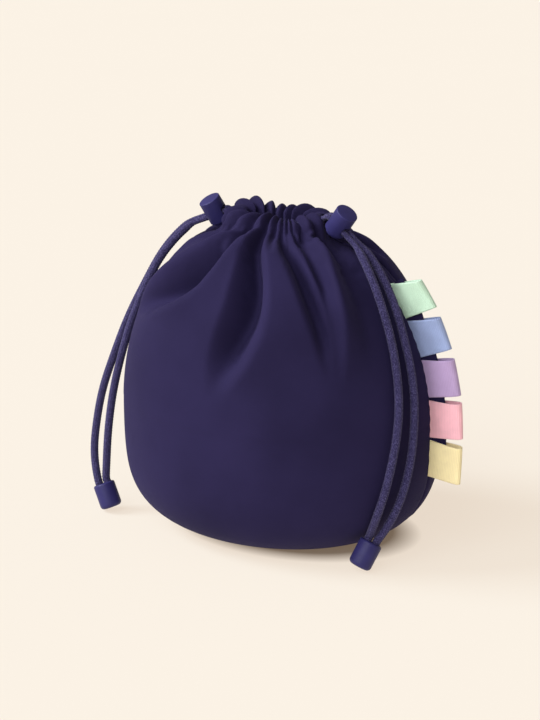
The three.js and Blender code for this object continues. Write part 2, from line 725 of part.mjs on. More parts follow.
function freeStrand(side, which) {
  const lockSign = strandSign(lockFrames[side], which);
  const endSign = which === 'front' ? 1 : -1;
  const start = straightRun + clearance;
  const spread = cordDiameter / 2 + clearance;
  const fromLock = [start, start + cordDiameter].map((x) =>
    new THREE.Vector3(x, lockSign * spread, 0).applyMatrix4(lockFrames[side]),
  );
  const mouth = endLength / 2;
  const intoEnd = [mouth + cordDiameter / 2, mouth, mouth - endBoreDepth + clearance].map((z) =>
    new THREE.Vector3(endSign * endStrandOffset, 0, z).applyMatrix4(endFrames[side]),
  );
  const path = curveThrough([...fromLock, ...vectors(strandRoutes[side][which]), ...intoEnd]);
  return namedMesh(`${side}_${which}_strand`, tubeAlong(path, cordDiameter, 24), colours.cord, 0.9);
}

const bag = new THREE.Group();
bag.add(...bagPanels(), ...ribbonLoops());
for (const side of ['left', 'right']) {
  bag.add(cordLock(side), cordEnd(side), channelCord(side));
  bag.add(freeStrand(side, 'front'), freeStrand(side, 'back'));
}

export default bag;
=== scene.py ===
"""Drawstring makeup bag: gathered cloth panels, braided drawcords, cord locks, cord ends and ribbon loops.

Shapes are worked out in millimetres in the model's own frame and become metres when a mesh is made.
"""
import math
from contextlib import contextmanager

import bmesh
import bpy
import numpy as np
from mathutils import Matrix, Vector


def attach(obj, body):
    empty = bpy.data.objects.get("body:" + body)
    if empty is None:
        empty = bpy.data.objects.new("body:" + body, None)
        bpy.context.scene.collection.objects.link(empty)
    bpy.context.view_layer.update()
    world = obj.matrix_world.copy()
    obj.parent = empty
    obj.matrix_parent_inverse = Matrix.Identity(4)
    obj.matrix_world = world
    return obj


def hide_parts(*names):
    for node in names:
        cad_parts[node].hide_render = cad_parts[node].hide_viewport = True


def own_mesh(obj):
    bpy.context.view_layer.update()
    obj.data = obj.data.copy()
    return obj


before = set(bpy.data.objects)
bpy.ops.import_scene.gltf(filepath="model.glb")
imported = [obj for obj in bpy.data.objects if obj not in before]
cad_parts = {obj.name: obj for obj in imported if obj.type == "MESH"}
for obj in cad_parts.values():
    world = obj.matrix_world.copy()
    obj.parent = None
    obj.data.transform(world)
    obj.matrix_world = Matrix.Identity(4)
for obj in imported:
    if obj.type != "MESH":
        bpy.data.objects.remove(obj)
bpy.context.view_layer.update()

MM = 0.001
# Keeps divisors and signs off zero
TINY = 1e-9

# Camera, from the photograph's viewing angle
CAMERA_AZIMUTH = 28.0
CAMERA_ELEVATION = 16.0
CAMERA_DISTANCE = 925.0
CAMERA_TARGET = (-6.1, -0.6, 94.1)
CAMERA_LENS = 85.0
SENSOR_WIDTH = 36.0
FAR_CLIP = 100.0

# Light: the way each sun shines, its strength, and its spread in degrees
SUNS = {
    "key": ((0.74, 0.32, -0.66), 3.3, 25),
    "fill": ((0.10, 0.85, -0.56), 2.6, 60),
}
SUN_COLOUR = (0.97, 0.98, 1.0)
WORLD_COLOUR = (1.0, 0.90, 0.77)
WORLD_STRENGTH = 0.30

# Paper floor: its soft glow fades to a painted shadow under the bag, between two shares of an ellipse
FLOOR_HALF = 9000.0
FLOOR_TONES = ((0.137, 0.162, 0.167), (0.143, 0.168, 0.173))
FLOOR_GLOW = (0.775, 0.665, 0.557)
PAINTED_SHADOW_GLOW = (0.17, 0.12, 0.08)
PAINTED_SHADOW_MIDDLE = (7.0, 5.2)
PAINTED_SHADOW_SIZE = (202.0, 146.0)
PAINTED_SHADOW_EDGE = (0.56, 0.725)

# Colours of the materials and pitches of their threads
FABRIC_COLOUR = (0.0178, 0.0140, 0.0485)
FABRIC_SHEEN = (0.42, 0.38, 0.85, 1)
FABRIC_PITCH = 0.62
SLUB_RISE = 1.2
CORD_TONES = ((0.024, 0.020, 0.064), (0.072, 0.063, 0.160))
BRAID_PITCH = 1.6
BRAID_PITCH_ROUND = 1.38
BRAID_PAINTED_SHADE = 0.10
PLASTIC_COLOUR = (0.025, 0.022, 0.102)
STEEL_TONES = ((0.42, 0.42, 0.44), (0.58, 0.58, 0.60))
RIB_PITCH = 0.9
RIB_WANDER = 0.5
RIB_PAINTED_SHADE = 0.12
RIB_THREAD_PITCH = 0.5
RIB_THREAD_RISE = 0.35

# Bag body
BELLY_WIDTH = 180.0
BELLY_DEPTH = 146.0
BELLY_HEIGHT = 67.0
BASE_WIDTH = 64.0
SHOULDER_RISE = 110.0
LOWER_FULLNESS = 3.4
BASE_SHIFT = -2.2
BASE_SHIFT_TOP = 50.0
BASE_RATIO = BASE_WIDTH / BELLY_WIDTH
LOWER_HEIGHT = BELLY_HEIGHT / (1 - BASE_RATIO ** LOWER_FULLNESS) ** (1 / LOWER_FULLNESS)
FABRIC_THICKNESS = 0.7

# Side seams, with the groove between the panels and its small puckers
SEAM_Y = -2.0
SEAM_DEPTH = 1.5
SEAM_REACH = 1.6
PUCKER_RISE = 0.25
PUCKER_REACH = 6.0
PUCKER_TURN = 1.1

# Gathered neck
NECK_FOOT = 157.5
NECK_TILT = 5.5
NECK_RISE = 13.0
NECK_CORE = 12.5
NECK_RADIUS = 16.5
NECK_FLARE = 6.0
SIDE_FLARE = 1.5
FLARE_FOOT = 168.0
FLARE_TOP = 176.0
HEM_TOP = 177.6
HEM_SHOULDER = 174.5
HEM_FOOT = 165.5
HEM_INNER_RADIUS = 6.2
HEM_FRONT_DROP = 3.2
HEM_RIGHT_DROP = 0.8
CHANNEL_RADIUS = 10.55
CHANNEL_LEVELS = {"left": 169.8, "right": 172.8}
EXIT_ANGLE = 7.0
EXIT_FOOT = 167.5
FRONT_CREASE = 0.1
RIGHT_COVER = 2.2
RIGHT_COVER_AT = -9.0
RIGHT_COVER_WIDTH = 15.0
RUFFLE_RISE = 2.2
RUFFLE_ENDS = (6.0, 16.0)
INNER_RUFFLE = 1.6
CREST_RISE = 1.5
WIDE_PUFF = 18.0
PUFF_ROUNDNESS = 1.8
DEEPEST_CREASE = 0.8
FOLDS_LOST_AT_HEM = 0.8
FLANK_MIX = (0.55, 0.45)
LINE_ROUNDING = 6.0
GATHER_FADE = 10.0

# Rows and columns of the cloth, with finer columns beside the seams
PANEL_COLUMNS = 180
SEAM_COLUMNS = (0, 0.15, 0.35, 0.6, 0.9, 1.3, 1.8, 2.4)
BOTTOM_SHARES = (0.02, 0.3, 0.6, 0.85)
LOWER_ROWS = 30
LOWER_CROWDING = 1.7
UPPER_ROWS = 92
CREST_ROWS = 11
RIGHT_EXIT_ROWS = 3
HEM_INNER_ROWS = 6
HEM_START = len(BOTTOM_SHARES) + LOWER_ROWS + UPPER_ROWS

# Cloth settling: where it is held, its spare length, how firm its links are, and how far it may drift
SETTLE_FROM = BELLY_HEIGHT - 2
HELD_BELOW = BELLY_HEIGHT + 6
HELD_ABOVE = 173.0
SEAM_HELD_BELOW = 152.0
ON_SEAM = 0.1
FRONT_SLACK = 0.004
MOST_BACK_GATHER = 1.7
MERIDIAN_SLACK = 0.03
SLACK_GROWS = (80.0, 130.0)
THREAD_FIRMNESS = 1.0
DIAGONAL_FIRMNESS = 0.25
BEND_FIRMNESS = {2: 0.35, 4: 0.2}
FILL_PRESS = 0.03
FILL_GROWS = (BELLY_HEIGHT, 120.0)
FILL_FADES = (145.0, 166.0)
SETTLE_ROUNDS = 240
LEAST_DRIFT = 0.2
FRONT_DRIFT = 0.6
BACK_DRIFT = 1.8
SIDE_DRIFT = 0.35
DRIFT_GROWS = (HELD_BELOW, 140.0)
EVENING_ROUNDS = 2
EVENING = 0.5
STRAND_REACH = 12.0
STRAND_FROM = 50
STRAND_EVERY = 8

# Cords: squeezed where a lock holds them, and calmed to a smooth way from there to the cord end
CORD_DIAMETER = 4.4
SQUEEZED_DIAMETER = 3.0
CLEARANCE = 0.3
STRAIGHT_RUN = 15.0
HELD_RUN = (0, STRAIGHT_RUN * 0.5, STRAIGHT_RUN - 1)
FULL_ROUND = (STRAIGHT_RUN - 0.5, 22.0)
CALM_AFTER = (STRAIGHT_RUN - 2, STRAIGHT_RUN + 8)
CALM_BEFORE = (22.0, 8.0)
CALMING = 0.5
CALMING_ROUNDS = 900
CURVE_STEPS = 24
STRAND_STEP = 0.36
STRAND_INSET = 0.1
STRAND_BRAID = 0.16
CHANNEL_START = 0.4
CHANNEL_STEP = 0.5
CHANNEL_INSET = 0.05
CHANNEL_BRAID = 0.1

# Cord locks
LOCK_RADIUS = 6.0
LOCK_BORE_RADIUS = 4.9
LOCK_MOUTH = -4.0
LOCK_BORE_END = 7.7
LOCK_END = 9.2
LOCK_ROUNDS = (0.5, 0.55)
LOCK_SLOT = dict(low=-1.8, high=3.2, corner=1.6)
SLOT_HALF_WIDTH = 3.45
PLUNGER_RADIUS = 4.7
PLUNGER_FOOT = -5.8
PLUNGER_CROWN = 3.1
PLUNGER_ROUNDS = (0.8, 0.3)
PLUNGER_SLOT = dict(low=-3.6, high=1.8, corner=1.4)
SPRING_WIRE = 0.55
SPRING_TURNS = 3.5
SPRING_POINTS = 160
SPRING_STEP = 0.5
EDGE_BEVEL = 0.22
BEVEL_ANGLE = 40.0
SHARP_ANGLE = 35.0

# Cord ends
END_RADIUS = 6.15
END_LENGTH = 14.4
END_ROUNDS = (2.2, 1.2)
END_BORE_DEPTH = 6.0
END_CUT_PAST = 5.0

# Ribbon loops: each stands a little open, and the lower and the upper edge of its end droop
RIBBON_WIDTH = 20.0
RIBBON_THICKNESS = 0.7
RIBBONS = {
    "yellow": dict(colour=(0.96, 0.82, 0.47), opening=4.2, droop=(-1.4, -1.4)),
    "pink": dict(colour=(0.92, 0.49, 0.565), opening=4.8, droop=(0.5, -0.6)),
    "lilac": dict(colour=(0.46, 0.33, 0.57), opening=5.2, droop=(-0.6, -1.5)),
    "blue": dict(colour=(0.285, 0.355, 0.59), opening=4.8, droop=(-0.5, -3.3)),
    "mint": dict(colour=(0.53, 0.735, 0.57), opening=4.4, droop=(-2.5, -6.6)),
}
LOWER_OPENING = 0.75
OPENING_GAIN = 0.4
LOOP_REACH = 17.0
LOOP_TAIL = 4.5
LOOP_TAIL_HALF = 0.6
LOOP_FOOT_HALF = 0.75
LOOP_FLANK = (0.3, 0.36)
LOOP_SHOULDER = (0.78, 0.52)
LOOP_BOW = 0.4
LOOP_COLUMNS = 25
LOOP_STEP = 0.6
LOWEST_LOOP_HEIGHT = 54.0
LOOP_PITCH = 21.6
LOOP_SEARCH_STEP = 0.1
SEAM_EDGE = 8.5
SEAM_EDGE_HELD = 2.0
SEAM_EDGE_TAIL = 7.0
SEAM_EDGE_ROWS = 72

LOCK_PLACES = {
    "left": dict(at=(-37, -3, 173), up=(-0.324, -0.393, 0.857), out=(-0.926, -0.041, -0.374)),
    "right": dict(at=(38, -8, 174.3), up=(0.6, -0.16, 0.784), out=(0.779, -0.1, -0.619)),
}
END_PLACES = {
    "left": dict(at=(-96.2, -27.5, 9), up=(-0.416, 0.073, 0.906), out=(0.79, 0.52, 0.32)),
    "right": dict(at=(69.9, -38.5, 9.1), up=(0.297, 0.434, 0.85), out=(-0.841, -0.302, 0.448)),
}
EXIT_ROUTES = {
    ("left", "front"): [(-18, -11, 169.8), (-21.2, -7.6, 169.9), (-24.8, -5.4, 170.6), (-27.6, -4.9, 173)],
    ("left", "back"): [(-18, 7, 169.8), (-21.2, 3.6, 169.9), (-24.8, 1.3, 170.6), (-28, 0, 173.5)],
    ("right", "front"): [(18, -11, 173.2), (21.2, -7.6, 173.4), (25.5, -5.6, 175.2), (29.5, -7, 177.2)],
    ("right", "back"): [(18, 7, 173.2), (21.2, 3.6, 173.4), (25.5, 0.4, 175.2), (29.8, -2.6, 177.2)],
}
STRAND_ROUTES = {
    ("left", "front"): [
        (-58.5, -8, 160), (-65, -10, 152.5), (-71, -12, 143), (-75.5, -13.5, 133), (-80.5, -14.5, 122),
        (-85, -15.5, 111), (-89, -17, 97.5), (-92.5, -18.5, 84), (-95.5, -20.5, 68.5), (-97, -22.5, 53.5),
        (-97.5, -24.5, 41), (-97.5, -25.5, 30),
    ],
    ("left", "back"): [
        (-60, -3, 161.5), (-67, -5, 154), (-73, -7, 144.5), (-78, -9, 134), (-84.5, -11.5, 121),
        (-91, -14, 106), (-97.5, -16, 88), (-103, -18, 72), (-106, -19.5, 58), (-107.5, -21.5, 43),
        (-107.5, -24, 33),
    ],
    ("right", "front"): [
        (56, -13.8, 157.5), (63, -17.5, 147.5), (70, -21.3, 135.5), (75.3, -24.3, 124.5),
        (79.3, -26.5, 112.5), (82.3, -29, 101), (84.3, -31.3, 88.5), (84.6, -33.8, 75), (83.2, -36.5, 60),
        (80.5, -39, 43.5), (76, -39.5, 29.5),
    ],
    ("right", "back"): [
        (57.5, -6.5, 157.8), (65, -9.8, 148.5), (71.5, -12.3, 139), (76.8, -15.5, 129), (81.8, -18.3, 117),
        (85.6, -19.6, 105), (88.4, -21.4, 91), (89.4, -23.4, 78), (89.2, -25.6, 61), (86.6, -28.6, 43),
        (82, -32, 28),
    ],
}

# Folds of the panels. Each line runs down from the hem: height, angle in degrees round from +X, and rise
# above the smooth body. A line that rises is a ridge or the edge of a flat face, and one that sinks a valley.
FRONT_FOLDS = [
    [(176, -20, -1), (164, -21, -4), (153, -26, -5), (140, -27, -4), (125, -28, -2), (105, -30, 0)],
    [(176, -35, 1), (165, -35, 4), (155, -39, 6.5), (142, -40, 7), (130, -40.5, 6), (117, -43, 3),
     (104, -44, 0)],
    [(176, -46, -0.5), (166, -47, -2), (159, -47, -3), (149, -45, -2.5), (141, -44.5, 0)],
    [(176, -53, 0.5), (163, -54, 1), (157, -50.5, 2), (150, -48.5, 2.5), (144, -47, 0)],
    [(176, -64, -1), (164, -65, -4), (159, -56, -7), (148, -54.5, -7), (136, -52, -5), (122, -50, -2),
     (108, -49, 0)],
    [(176, -70, 0), (164, -69, 2), (158, -62, 6), (148, -60, 7), (137, -57, 6), (124, -54, 3.5),
     (110, -52, 0)],
    [(176, -79, 1), (164, -78, 4.5), (156, -73, 7), (145, -71, 8), (133, -71, 7.5), (120, -75, 6),
     (98, -84, 0)],
    [(176, -86, -1), (164, -84.5, -5), (158, -80, -10), (146, -78.5, -13), (134, -80, -13.5),
     (120, -84.5, -11), (96, -90, 0)],
    [(158, -91, 4), (150, -91, 3.5), (140, -90.5, 2.5), (128, -93, 1.5), (112, -95, 0.5), (100, -94, 0)],
    [(176, -97, 1), (165, -98, 4), (158, -99, 5.5), (148, -102, 6), (139, -109, 6), (130, -122, 4),
     (121, -138, 0)],
    [(176, -107, -1), (166, -106, -4), (159, -107.5, -9), (149, -113, -14), (141, -121, -12),
     (134, -131, -7), (124, -147, 0)],
    [(176, -120, 1), (166, -120, 3), (158, -125, 5), (149, -131, 6), (141, -139, 5.5), (133, -148, 3),
     (120, -156, 0)],
    [(176, -134, -1), (165, -140, -1.5), (155, -154, -1), (145, -163, -0.5), (132, -166, 0)],
    [(176, -149, 0.5), (165, -156, 0), (155, -165, 0), (145, -169, 0)],
]
BACK_FOLDS = [
    [(176, 12, 0), (164, 13, -2), (150, 17, -3), (130, 20, -1.5), (105, 22, 0)],
    [(176, 32, 1), (164, 32, 1.5), (150, 33, 2), (132, 35, 1.5), (100, 37, 0)],
    [(176, 52, -1), (164, 50, -4), (150, 50, -5), (130, 52, -3), (104, 54, 0)],
    [(176, 65, 1), (164, 66, 4), (150, 69, 5.5), (130, 72, 4), (92, 74, 0)],
    [(176, 78, -1), (164, 80, -4), (150, 84, -5.5), (126, 87, -3), (96, 88, 0)],
    [(176, 94, 1), (164, 96, 4), (150, 100, 6), (128, 103, 4.5), (94, 104, 0)],
    [(176, 111, -1), (164, 113, -4), (150, 117, -5), (132, 120, -3), (106, 121, 0)],
    [(176, 122, 1), (164, 126, 3.5), (150, 132, 4), (134, 136, 2.5), (108, 138, 0)],
    [(176, 132, -1), (164, 140, -2.5), (150, 148, -3), (136, 152, -1.5), (115, 154, 0)],
    [(176, 146, 1), (164, 154, 1), (150, 163, 0.5), (134, 166, 0)],
]
# Short gathers: height and angle down the line, then their rise and half width in degrees
FRONT_GATHERS = [
    ([(178, -54), (168, -54), (158, -53)], 1.0, 2.6),
    ([(178, -61), (168, -61), (160, -60)], 1.2, 2.4),
    ([(178, -91), (168, -92), (160, -91)], 1.0, 2.6),
    ([(178, -112), (168, -113), (160, -112)], 1.0, 3.0),
]
BACK_GATHERS = [
    ([(178, 30), (168, 30), (158, 31)], 1.2, 3.0),
    ([(178, 59), (168, 59), (158, 60)], 1.4, 2.6),
    ([(178, 90), (168, 91), (156, 92)], 1.5, 3.0),
    ([(178, 119), (168, 120), (158, 122)], 1.3, 2.8),
]
# Puffs of the hem: the middle of each in degrees round from +X, and its size
FRONT_PUFFS = [
    (-14, 0.7), (-33, 1.3), (-49, 0.6), (-55, 0.5), (-61, 0.6), (-68, 0.7), (-79, 1.0), (-94, 1.3),
    (-119, 0.9), (-145, 0.7), (-164, 0.7),
]
BACK_PUFFS = [
    (14, 0.6), (38, 0.8), (65, 1.0), (86, 0.5), (104, 0.4), (121, 0.6), (145, 1.7), (166, 1.5),
]


# Camera, light and floor


def add_camera():
    azimuth = math.radians(CAMERA_AZIMUTH)
    elevation = math.radians(CAMERA_ELEVATION)
    back = Vector((
        math.sin(azimuth) * math.cos(elevation),
        -math.cos(azimuth) * math.cos(elevation),
        math.sin(elevation),
    ))
    right = Vector((math.cos(azimuth), math.sin(azimuth), 0))
    place = Matrix((right, back.cross(right), back)).transposed().to_4x4()
    place.translation = (Vector(CAMERA_TARGET) + CAMERA_DISTANCE * back) * MM
    data = bpy.data.cameras.new("camera")
    data.lens = CAMERA_LENS
    data.sensor_width = SENSOR_WIDTH
    data.clip_end = FAR_CLIP
    camera = bpy.data.objects.new("camera", data)
    camera.matrix_world = place
    bpy.context.collection.objects.link(camera)
    bpy.context.scene.camera = camera


def add_light():
    world = bpy.data.worlds.new("studio")
    world.use_nodes = True
    background = world.node_tree.nodes["Background"]
    background.inputs["Color"].default_value = (*WORLD_COLOUR, 1)
    background.inputs["Strength"].default_value = WORLD_STRENGTH
    bpy.context.scene.world = world
    for name, (towards, strength, spread) in SUNS.items():
        data = bpy.data.lights.new(name, "SUN")
        data.energy = strength
        data.angle = math.radians(spread)
        data.color = SUN_COLOUR
        light = bpy.data.objects.new(name, data)
        light.rotation_euler = Vector(towards).to_track_quat("-Z", "Y").to_euler()
        bpy.context.collection.objects.link(light)
    bpy.context.scene.view_settings.view_transform = "Standard"


def add_floor():
    mesh = bpy.data.meshes.new("floor")
    half = FLOOR_HALF * MM
    corners = [(-half, -half, 0), (half, -half, 0), (half, half, 0), (-half, half, 0)]
    mesh.from_pydata(corners, [], [(0, 1, 2, 3)])
    floor = bpy.data.objects.new("floor", mesh)
    bpy.context.collection.objects.link(floor)
    m = Nodes("floor_paper")
    m.paint(m.noise(scale=3.0), *FLOOR_TONES)
    m.set(Roughness=1.0, Specular_IOR_Level=0.0, Emission_Strength=1.0)
    squares = []
    # Painted shadow under the bag: inside an ellipse about the bag's base, the floor's glow fades to the dark
    # shadow tone
    for place, middle, width in zip(m.place("Object"), PAINTED_SHADOW_MIDDLE, PAINTED_SHADOW_SIZE):
        share = m.math("DIVIDE", m.math("SUBTRACT", place, middle * MM), width / 2 * MM)
        squares.append(m.math("POWER", share, 2.0))
    painted_shadow_reach = m.math("SQRT", m.math("ADD", *squares))
    m.link(m.ramp(painted_shadow_reach, PAINTED_SHADOW_GLOW, FLOOR_GLOW, *PAINTED_SHADOW_EDGE), m.shader.inputs["Emission Color"])
    mesh.materials.append(m.material)


# Materials


class Nodes:
    """A small helper that builds one node material."""

    def __init__(self, name):
        self.material = bpy.data.materials.new(name)
        self.material.use_nodes = True
        self.tree = self.material.node_tree
        self.shader = self.tree.nodes["Principled BSDF"]

    def add(self, kind, **values):
        node = self.tree.nodes.new(kind)
        for key, value in values.items():
            node.inputs[key].default_value = value
        return node

    def link(self, source, target):
        self.tree.links.new(source, target)

    def set(self, **values):
        for key, value in values.items():
            self.shader.inputs[key.replace("_", " ")].default_value = value

    def math(self, operation, first, second=None):
        node = self.add("ShaderNodeMath")
        node.operation = operation
        for socket, value in zip(node.inputs, (first, second)):
            if isinstance(value, (int, float)):
                socket.default_value = value
            elif value is not None:
                self.link(value, socket)
        return node.outputs["Value"]

    def ramp(self, factor, low, high, start=0.0, end=1.0):
        node = self.add("ShaderNodeValToRGB")
        for element, position, colour in zip(node.color_ramp.elements, (start, end), (low, high)):
            element.position = position
            element.color = (*colour, 1)
        self.link(factor, node.inputs["Fac"])
        return node.outputs["Color"]

    def paint(self, factor, low, high, start=0.0, end=1.0):
        """The surface's colour, between two tones."""
        self.link(self.ramp(factor, low, high, start, end), self.shader.inputs["Base Color"])

    def mottle(self, factor, colour, darkest, lightest):
        """The surface's colour, in darker and lighter patches, with painted shade too where the factor
        carries it.
        """
        low, high = (tuple(min(channel * share, 1.0) for channel in colour) for share in (darkest, lightest))
        self.paint(factor, low, high, start=0.3, end=0.7)

    def roughen(self, factor, least, gain):
        rough = self.math("ADD", self.math("MULTIPLY", factor, gain), least)
        self.link(rough, self.shader.inputs["Roughness"])

    def bump(self, height, distance, strength):
        node = self.add("ShaderNodeBump", Strength=strength, Distance=distance)
        self.link(height, node.inputs["Height"])
        self.link(node.outputs["Normal"], self.shader.inputs["Normal"])

    def place(self, coordinates):
        """X and Y in the object's own metres, or on the UV map, which is in millimetres along the cloth."""
        split = self.add("ShaderNodeSeparateXYZ")
        self.link(self.add("ShaderNodeTexCoord").outputs[coordinates], split.inputs["Vector"])
        return split.outputs["X"], split.outputs["Y"]

    def noise(self, scale, detail=2.0):
        node = self.add("ShaderNodeTexNoise", Scale=scale, Detail=detail)
        self.link(self.add("ShaderNodeTexCoord").outputs["Object"], node.inputs["Vector"])
        return node.outputs["Fac"]

    def wave(self, coordinate, pitch):
        return self.math("SINE", self.math("MULTIPLY", coordinate, 2 * math.pi / pitch))


def fabric_material():
    m = Nodes("navy_nylon")
    m.mottle(m.noise(scale=22.0, detail=3.0), FABRIC_COLOUR, darkest=0.86, lightest=1.16)
    u, v = m.place("UV")
    weave = m.math("MULTIPLY", m.wave(u, FABRIC_PITCH), m.wave(v, FABRIC_PITCH))
    slubs = m.math("MULTIPLY", m.noise(scale=900.0), SLUB_RISE)
    m.bump(m.math("ADD", weave, slubs), distance=0.00006, strength=0.55)
    m.set(Roughness=0.7, Sheen_Weight=0.06, Sheen_Roughness=0.45, Sheen_Tint=FABRIC_SHEEN)
    m.set(Specular_IOR_Level=0.03)
    return m.material


def cord_material():
    m = Nodes("navy_braid")
    u, v = m.place("UV")
    cell = m.math("MULTIPLY", m.wave(u, BRAID_PITCH_ROUND), m.wave(v, BRAID_PITCH))
    speckle = m.noise(scale=1500.0, detail=1.0)
    # Partly painted shade: the braid's raised cells are lighter and the hollows between them darker, in step
    # with the bump; the speckle is the yarn's own heathered colour
    braid_shade_and_speckle = m.math("ADD", m.math("MULTIPLY", cell, BRAID_PAINTED_SHADE), speckle)
    m.paint(braid_shade_and_speckle, *CORD_TONES, start=0.42, end=0.72)
    m.bump(m.math("ADD", cell, speckle), distance=0.00008, strength=0.5)
    m.set(Roughness=0.85, Sheen_Weight=0.1, Sheen_Roughness=0.5, Specular_IOR_Level=0.05)
    return m.material


def plastic_material():
    m = Nodes("navy_plastic")
    m.mottle(m.noise(scale=160.0, detail=3.0), PLASTIC_COLOUR, darkest=0.9, lightest=1.1)
    grain = m.noise(scale=2400.0)
    m.bump(grain, distance=0.00002, strength=0.6)
    m.roughen(grain, least=0.40, gain=0.12)
    m.set(Specular_IOR_Level=0.2)
    return m.material


def steel_material():
    m = Nodes("spring_steel")
    streak = m.noise(scale=1500.0)
    m.paint(streak, *STEEL_TONES)
    m.roughen(streak, least=0.22, gain=0.15)
    m.set(Metallic=1.0)
    return m.material


def ribbon_material(name, colour):
    m = Nodes(f"{name}_grosgrain")
    u, v = m.place("UV")
    wander = m.math("MULTIPLY", m.noise(scale=260.0), RIB_WANDER)
    ribs = m.wave(m.math("ADD", v, wander), RIB_PITCH)
    threads = m.math("MULTIPLY", m.wave(u, RIB_THREAD_PITCH), RIB_THREAD_RISE)
    # Partly painted shade: the ribs are lighter on their crests and darker in the grooves between them, in
    # step with the bump; the noise patches are the ribbon's own uneven tone
    rib_shade_and_patches = m.math("ADD", m.math("MULTIPLY", ribs, RIB_PAINTED_SHADE), m.noise(scale=120.0, detail=3.0))
    m.mottle(rib_shade_and_patches, colour, darkest=0.90, lightest=1.06)
    m.bump(m.math("ADD", ribs, threads), distance=0.00007, strength=0.7)
    m.set(Roughness=0.62, Sheen_Weight=0.25, Sheen_Roughness=0.4, Specular_IOR_Level=0.35)
    return m.material


# Mesh building


def new_object(name, points, faces, material, uvs=None):
    mesh = bpy.data.meshes.new(name)
    mesh.from_pydata((np.asarray(points, float) * MM).tolist(), [], [list(map(int, f)) for f in faces])
    mesh.update()
    if uvs is not None:
        corners = np.empty(len(mesh.loops), dtype=np.int32)
        mesh.loops.foreach_get("vertex_index", corners)
        layer = mesh.uv_layers.new(name="UVMap")
        layer.data.foreach_set("uv", np.asarray(uvs, float)[corners].ravel())
    mesh.materials.append(material)
    mesh.polygons.foreach_set("use_smooth", [True] * len(mesh.polygons))
    piece = bpy.data.objects.new(name, mesh)
    bpy.context.collection.objects.link(piece)
    return piece


def grid_faces(rows, columns, closed=False):
    faces = []
    span = columns if closed else columns - 1
    for i in range(rows - 1):
        for j in range(span):
            k = (j + 1) % columns
            faces.append((i * columns + j, i * columns + k, (i + 1) * columns + k, (i + 1) * columns + j))
    return faces


def grid_uvs(across, along):
    """UVs in millimetres for a grid, from each column's place across and each row's place along."""
    return np.stack(np.meshgrid(across, along), axis=-1).reshape(-1, 2)


def new_bar(name, points, sides, material, uvs=None):
    """A bar from rings of points, each with a number of sides, closed at both ends."""
    faces = grid_faces(len(points) // sides, sides, closed=True)
    faces += [range(sides)[::-1], range(len(points) - sides, len(points))]
    return new_object(name, points, faces, material, uvs)


def finish_piece(piece, body, node):
    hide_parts(node)
    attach(piece, body)
    return piece


def apply_modifiers(piece):
    with bpy.context.temp_override(object=piece, active_object=piece, selected_objects=[piece]):
        for modifier in list(piece.modifiers):
            bpy.ops.object.modifier_apply(modifier=modifier.name)


def thicken(piece, thickness, offset):
    solidify = piece.modifiers.new("thickness", "SOLIDIFY")
    solidify.thickness = thickness * MM
    solidify.offset = offset
    apply_modifiers(piece)


@contextmanager
def edited(piece):
    """The piece's mesh, open for edits."""
    work = bmesh.new()
    work.from_mesh(piece.data)
    yield work
    work.to_mesh(piece.data)
    work.free()


def fix_normals(piece):
    with edited(piece) as work:
        bmesh.ops.recalc_face_normals(work, faces=work.faces)


def soften_edges(piece):
    """Smooth shading, kept sharp where faces meet at a steep angle."""
    with edited(piece) as work:
        for edge in work.edges:
            edge.smooth = len(edge.link_faces) == 2 and edge.calc_face_angle() < math.radians(SHARP_ANGLE)


def frame_at(at, up, out):
    """A frame with Z along up, X along out, and its origin at a point."""
    z = Vector(up).normalized()
    y = z.cross(Vector(out)).normalized()
    x = y.cross(z)
    place = Matrix((x, y, z)).transposed().to_4x4()
    place.translation = Vector(at)
    return np.array(place)


def moved(place, points):
    points = np.asarray(points, float)
    return points @ place[:3, :3].T + place[:3, 3]


def unit(vectors, least=0.0):
    return vectors / (np.linalg.norm(vectors, axis=-1, keepdims=True) + least)


def arc(x, y, radius, start, stop, count):
    """Points along an arc about a middle, from one angle in degrees to another."""
    turns = [math.radians(turn) for turn in np.linspace(start, stop, count)]
    return [(x + radius * math.cos(turn), y + radius * math.sin(turn)) for turn in turns]


def catmull_rom(points, per_segment):
    """A smooth centripetal curve through the points."""
    points = np.asarray(points, float)
    padded = np.vstack([2 * points[0] - points[1], points, 2 * points[-1] - points[-2]])
    line = []
    for i in range(1, len(padded) - 2):
        p0, p1, p2, p3 = padded[i - 1:i + 3]
        t1 = np.linalg.norm(p1 - p0) ** 0.5
        t2 = t1 + np.linalg.norm(p2 - p1) ** 0.5
        t3 = t2 + np.linalg.norm(p3 - p2) ** 0.5
        for t in np.linspace(t1, t2, per_segment, endpoint=False):
            a1 = p0 + (p1 - p0) * t / t1
            a2 = p1 + (p2 - p1) * (t - t1) / (t2 - t1)
            a3 = p2 + (p3 - p2) * (t - t2) / (t3 - t2)
            b1 = a1 + (a2 - a1) * t / t2
            b2 = a2 + (a3 - a2) * (t - t1) / (t3 - t1)
            line.append(b1 + (b2 - b1) * (t - t1) / (t2 - t1))
    line.append(points[-1])
    return np.array(line)


def distances(line):
    """How far along a line each of its points lies."""
    return np.concatenate([[0], np.cumsum(np.linalg.norm(np.diff(line, axis=0), axis=1))])


def even_line(line, step):
    """The same line with its points an even step apart, and the distance of each along it."""
    lengths = distances(line)
    along = np.linspace(0, lengths[-1], max(int(round(lengths[-1] / step)), 2) + 1)
    return np.stack([np.interp(along, lengths, line[:, k]) for k in range(3)], axis=1), along


def carried_frames(line):
    """Two directions across the line at each point, carried along it without twist."""
    tangents = unit(np.gradient(line, axis=0))
    aslant = (0.3, 0.5, 0.8)
    side = unit(np.cross(tangents[0], aslant))
    sides = []
    for tangent in tangents:
        side = unit(side - tangent * np.dot(side, tangent))
        sides.append(side)
    sides = np.array(sides)
    return sides, np.cross(tangents, sides)


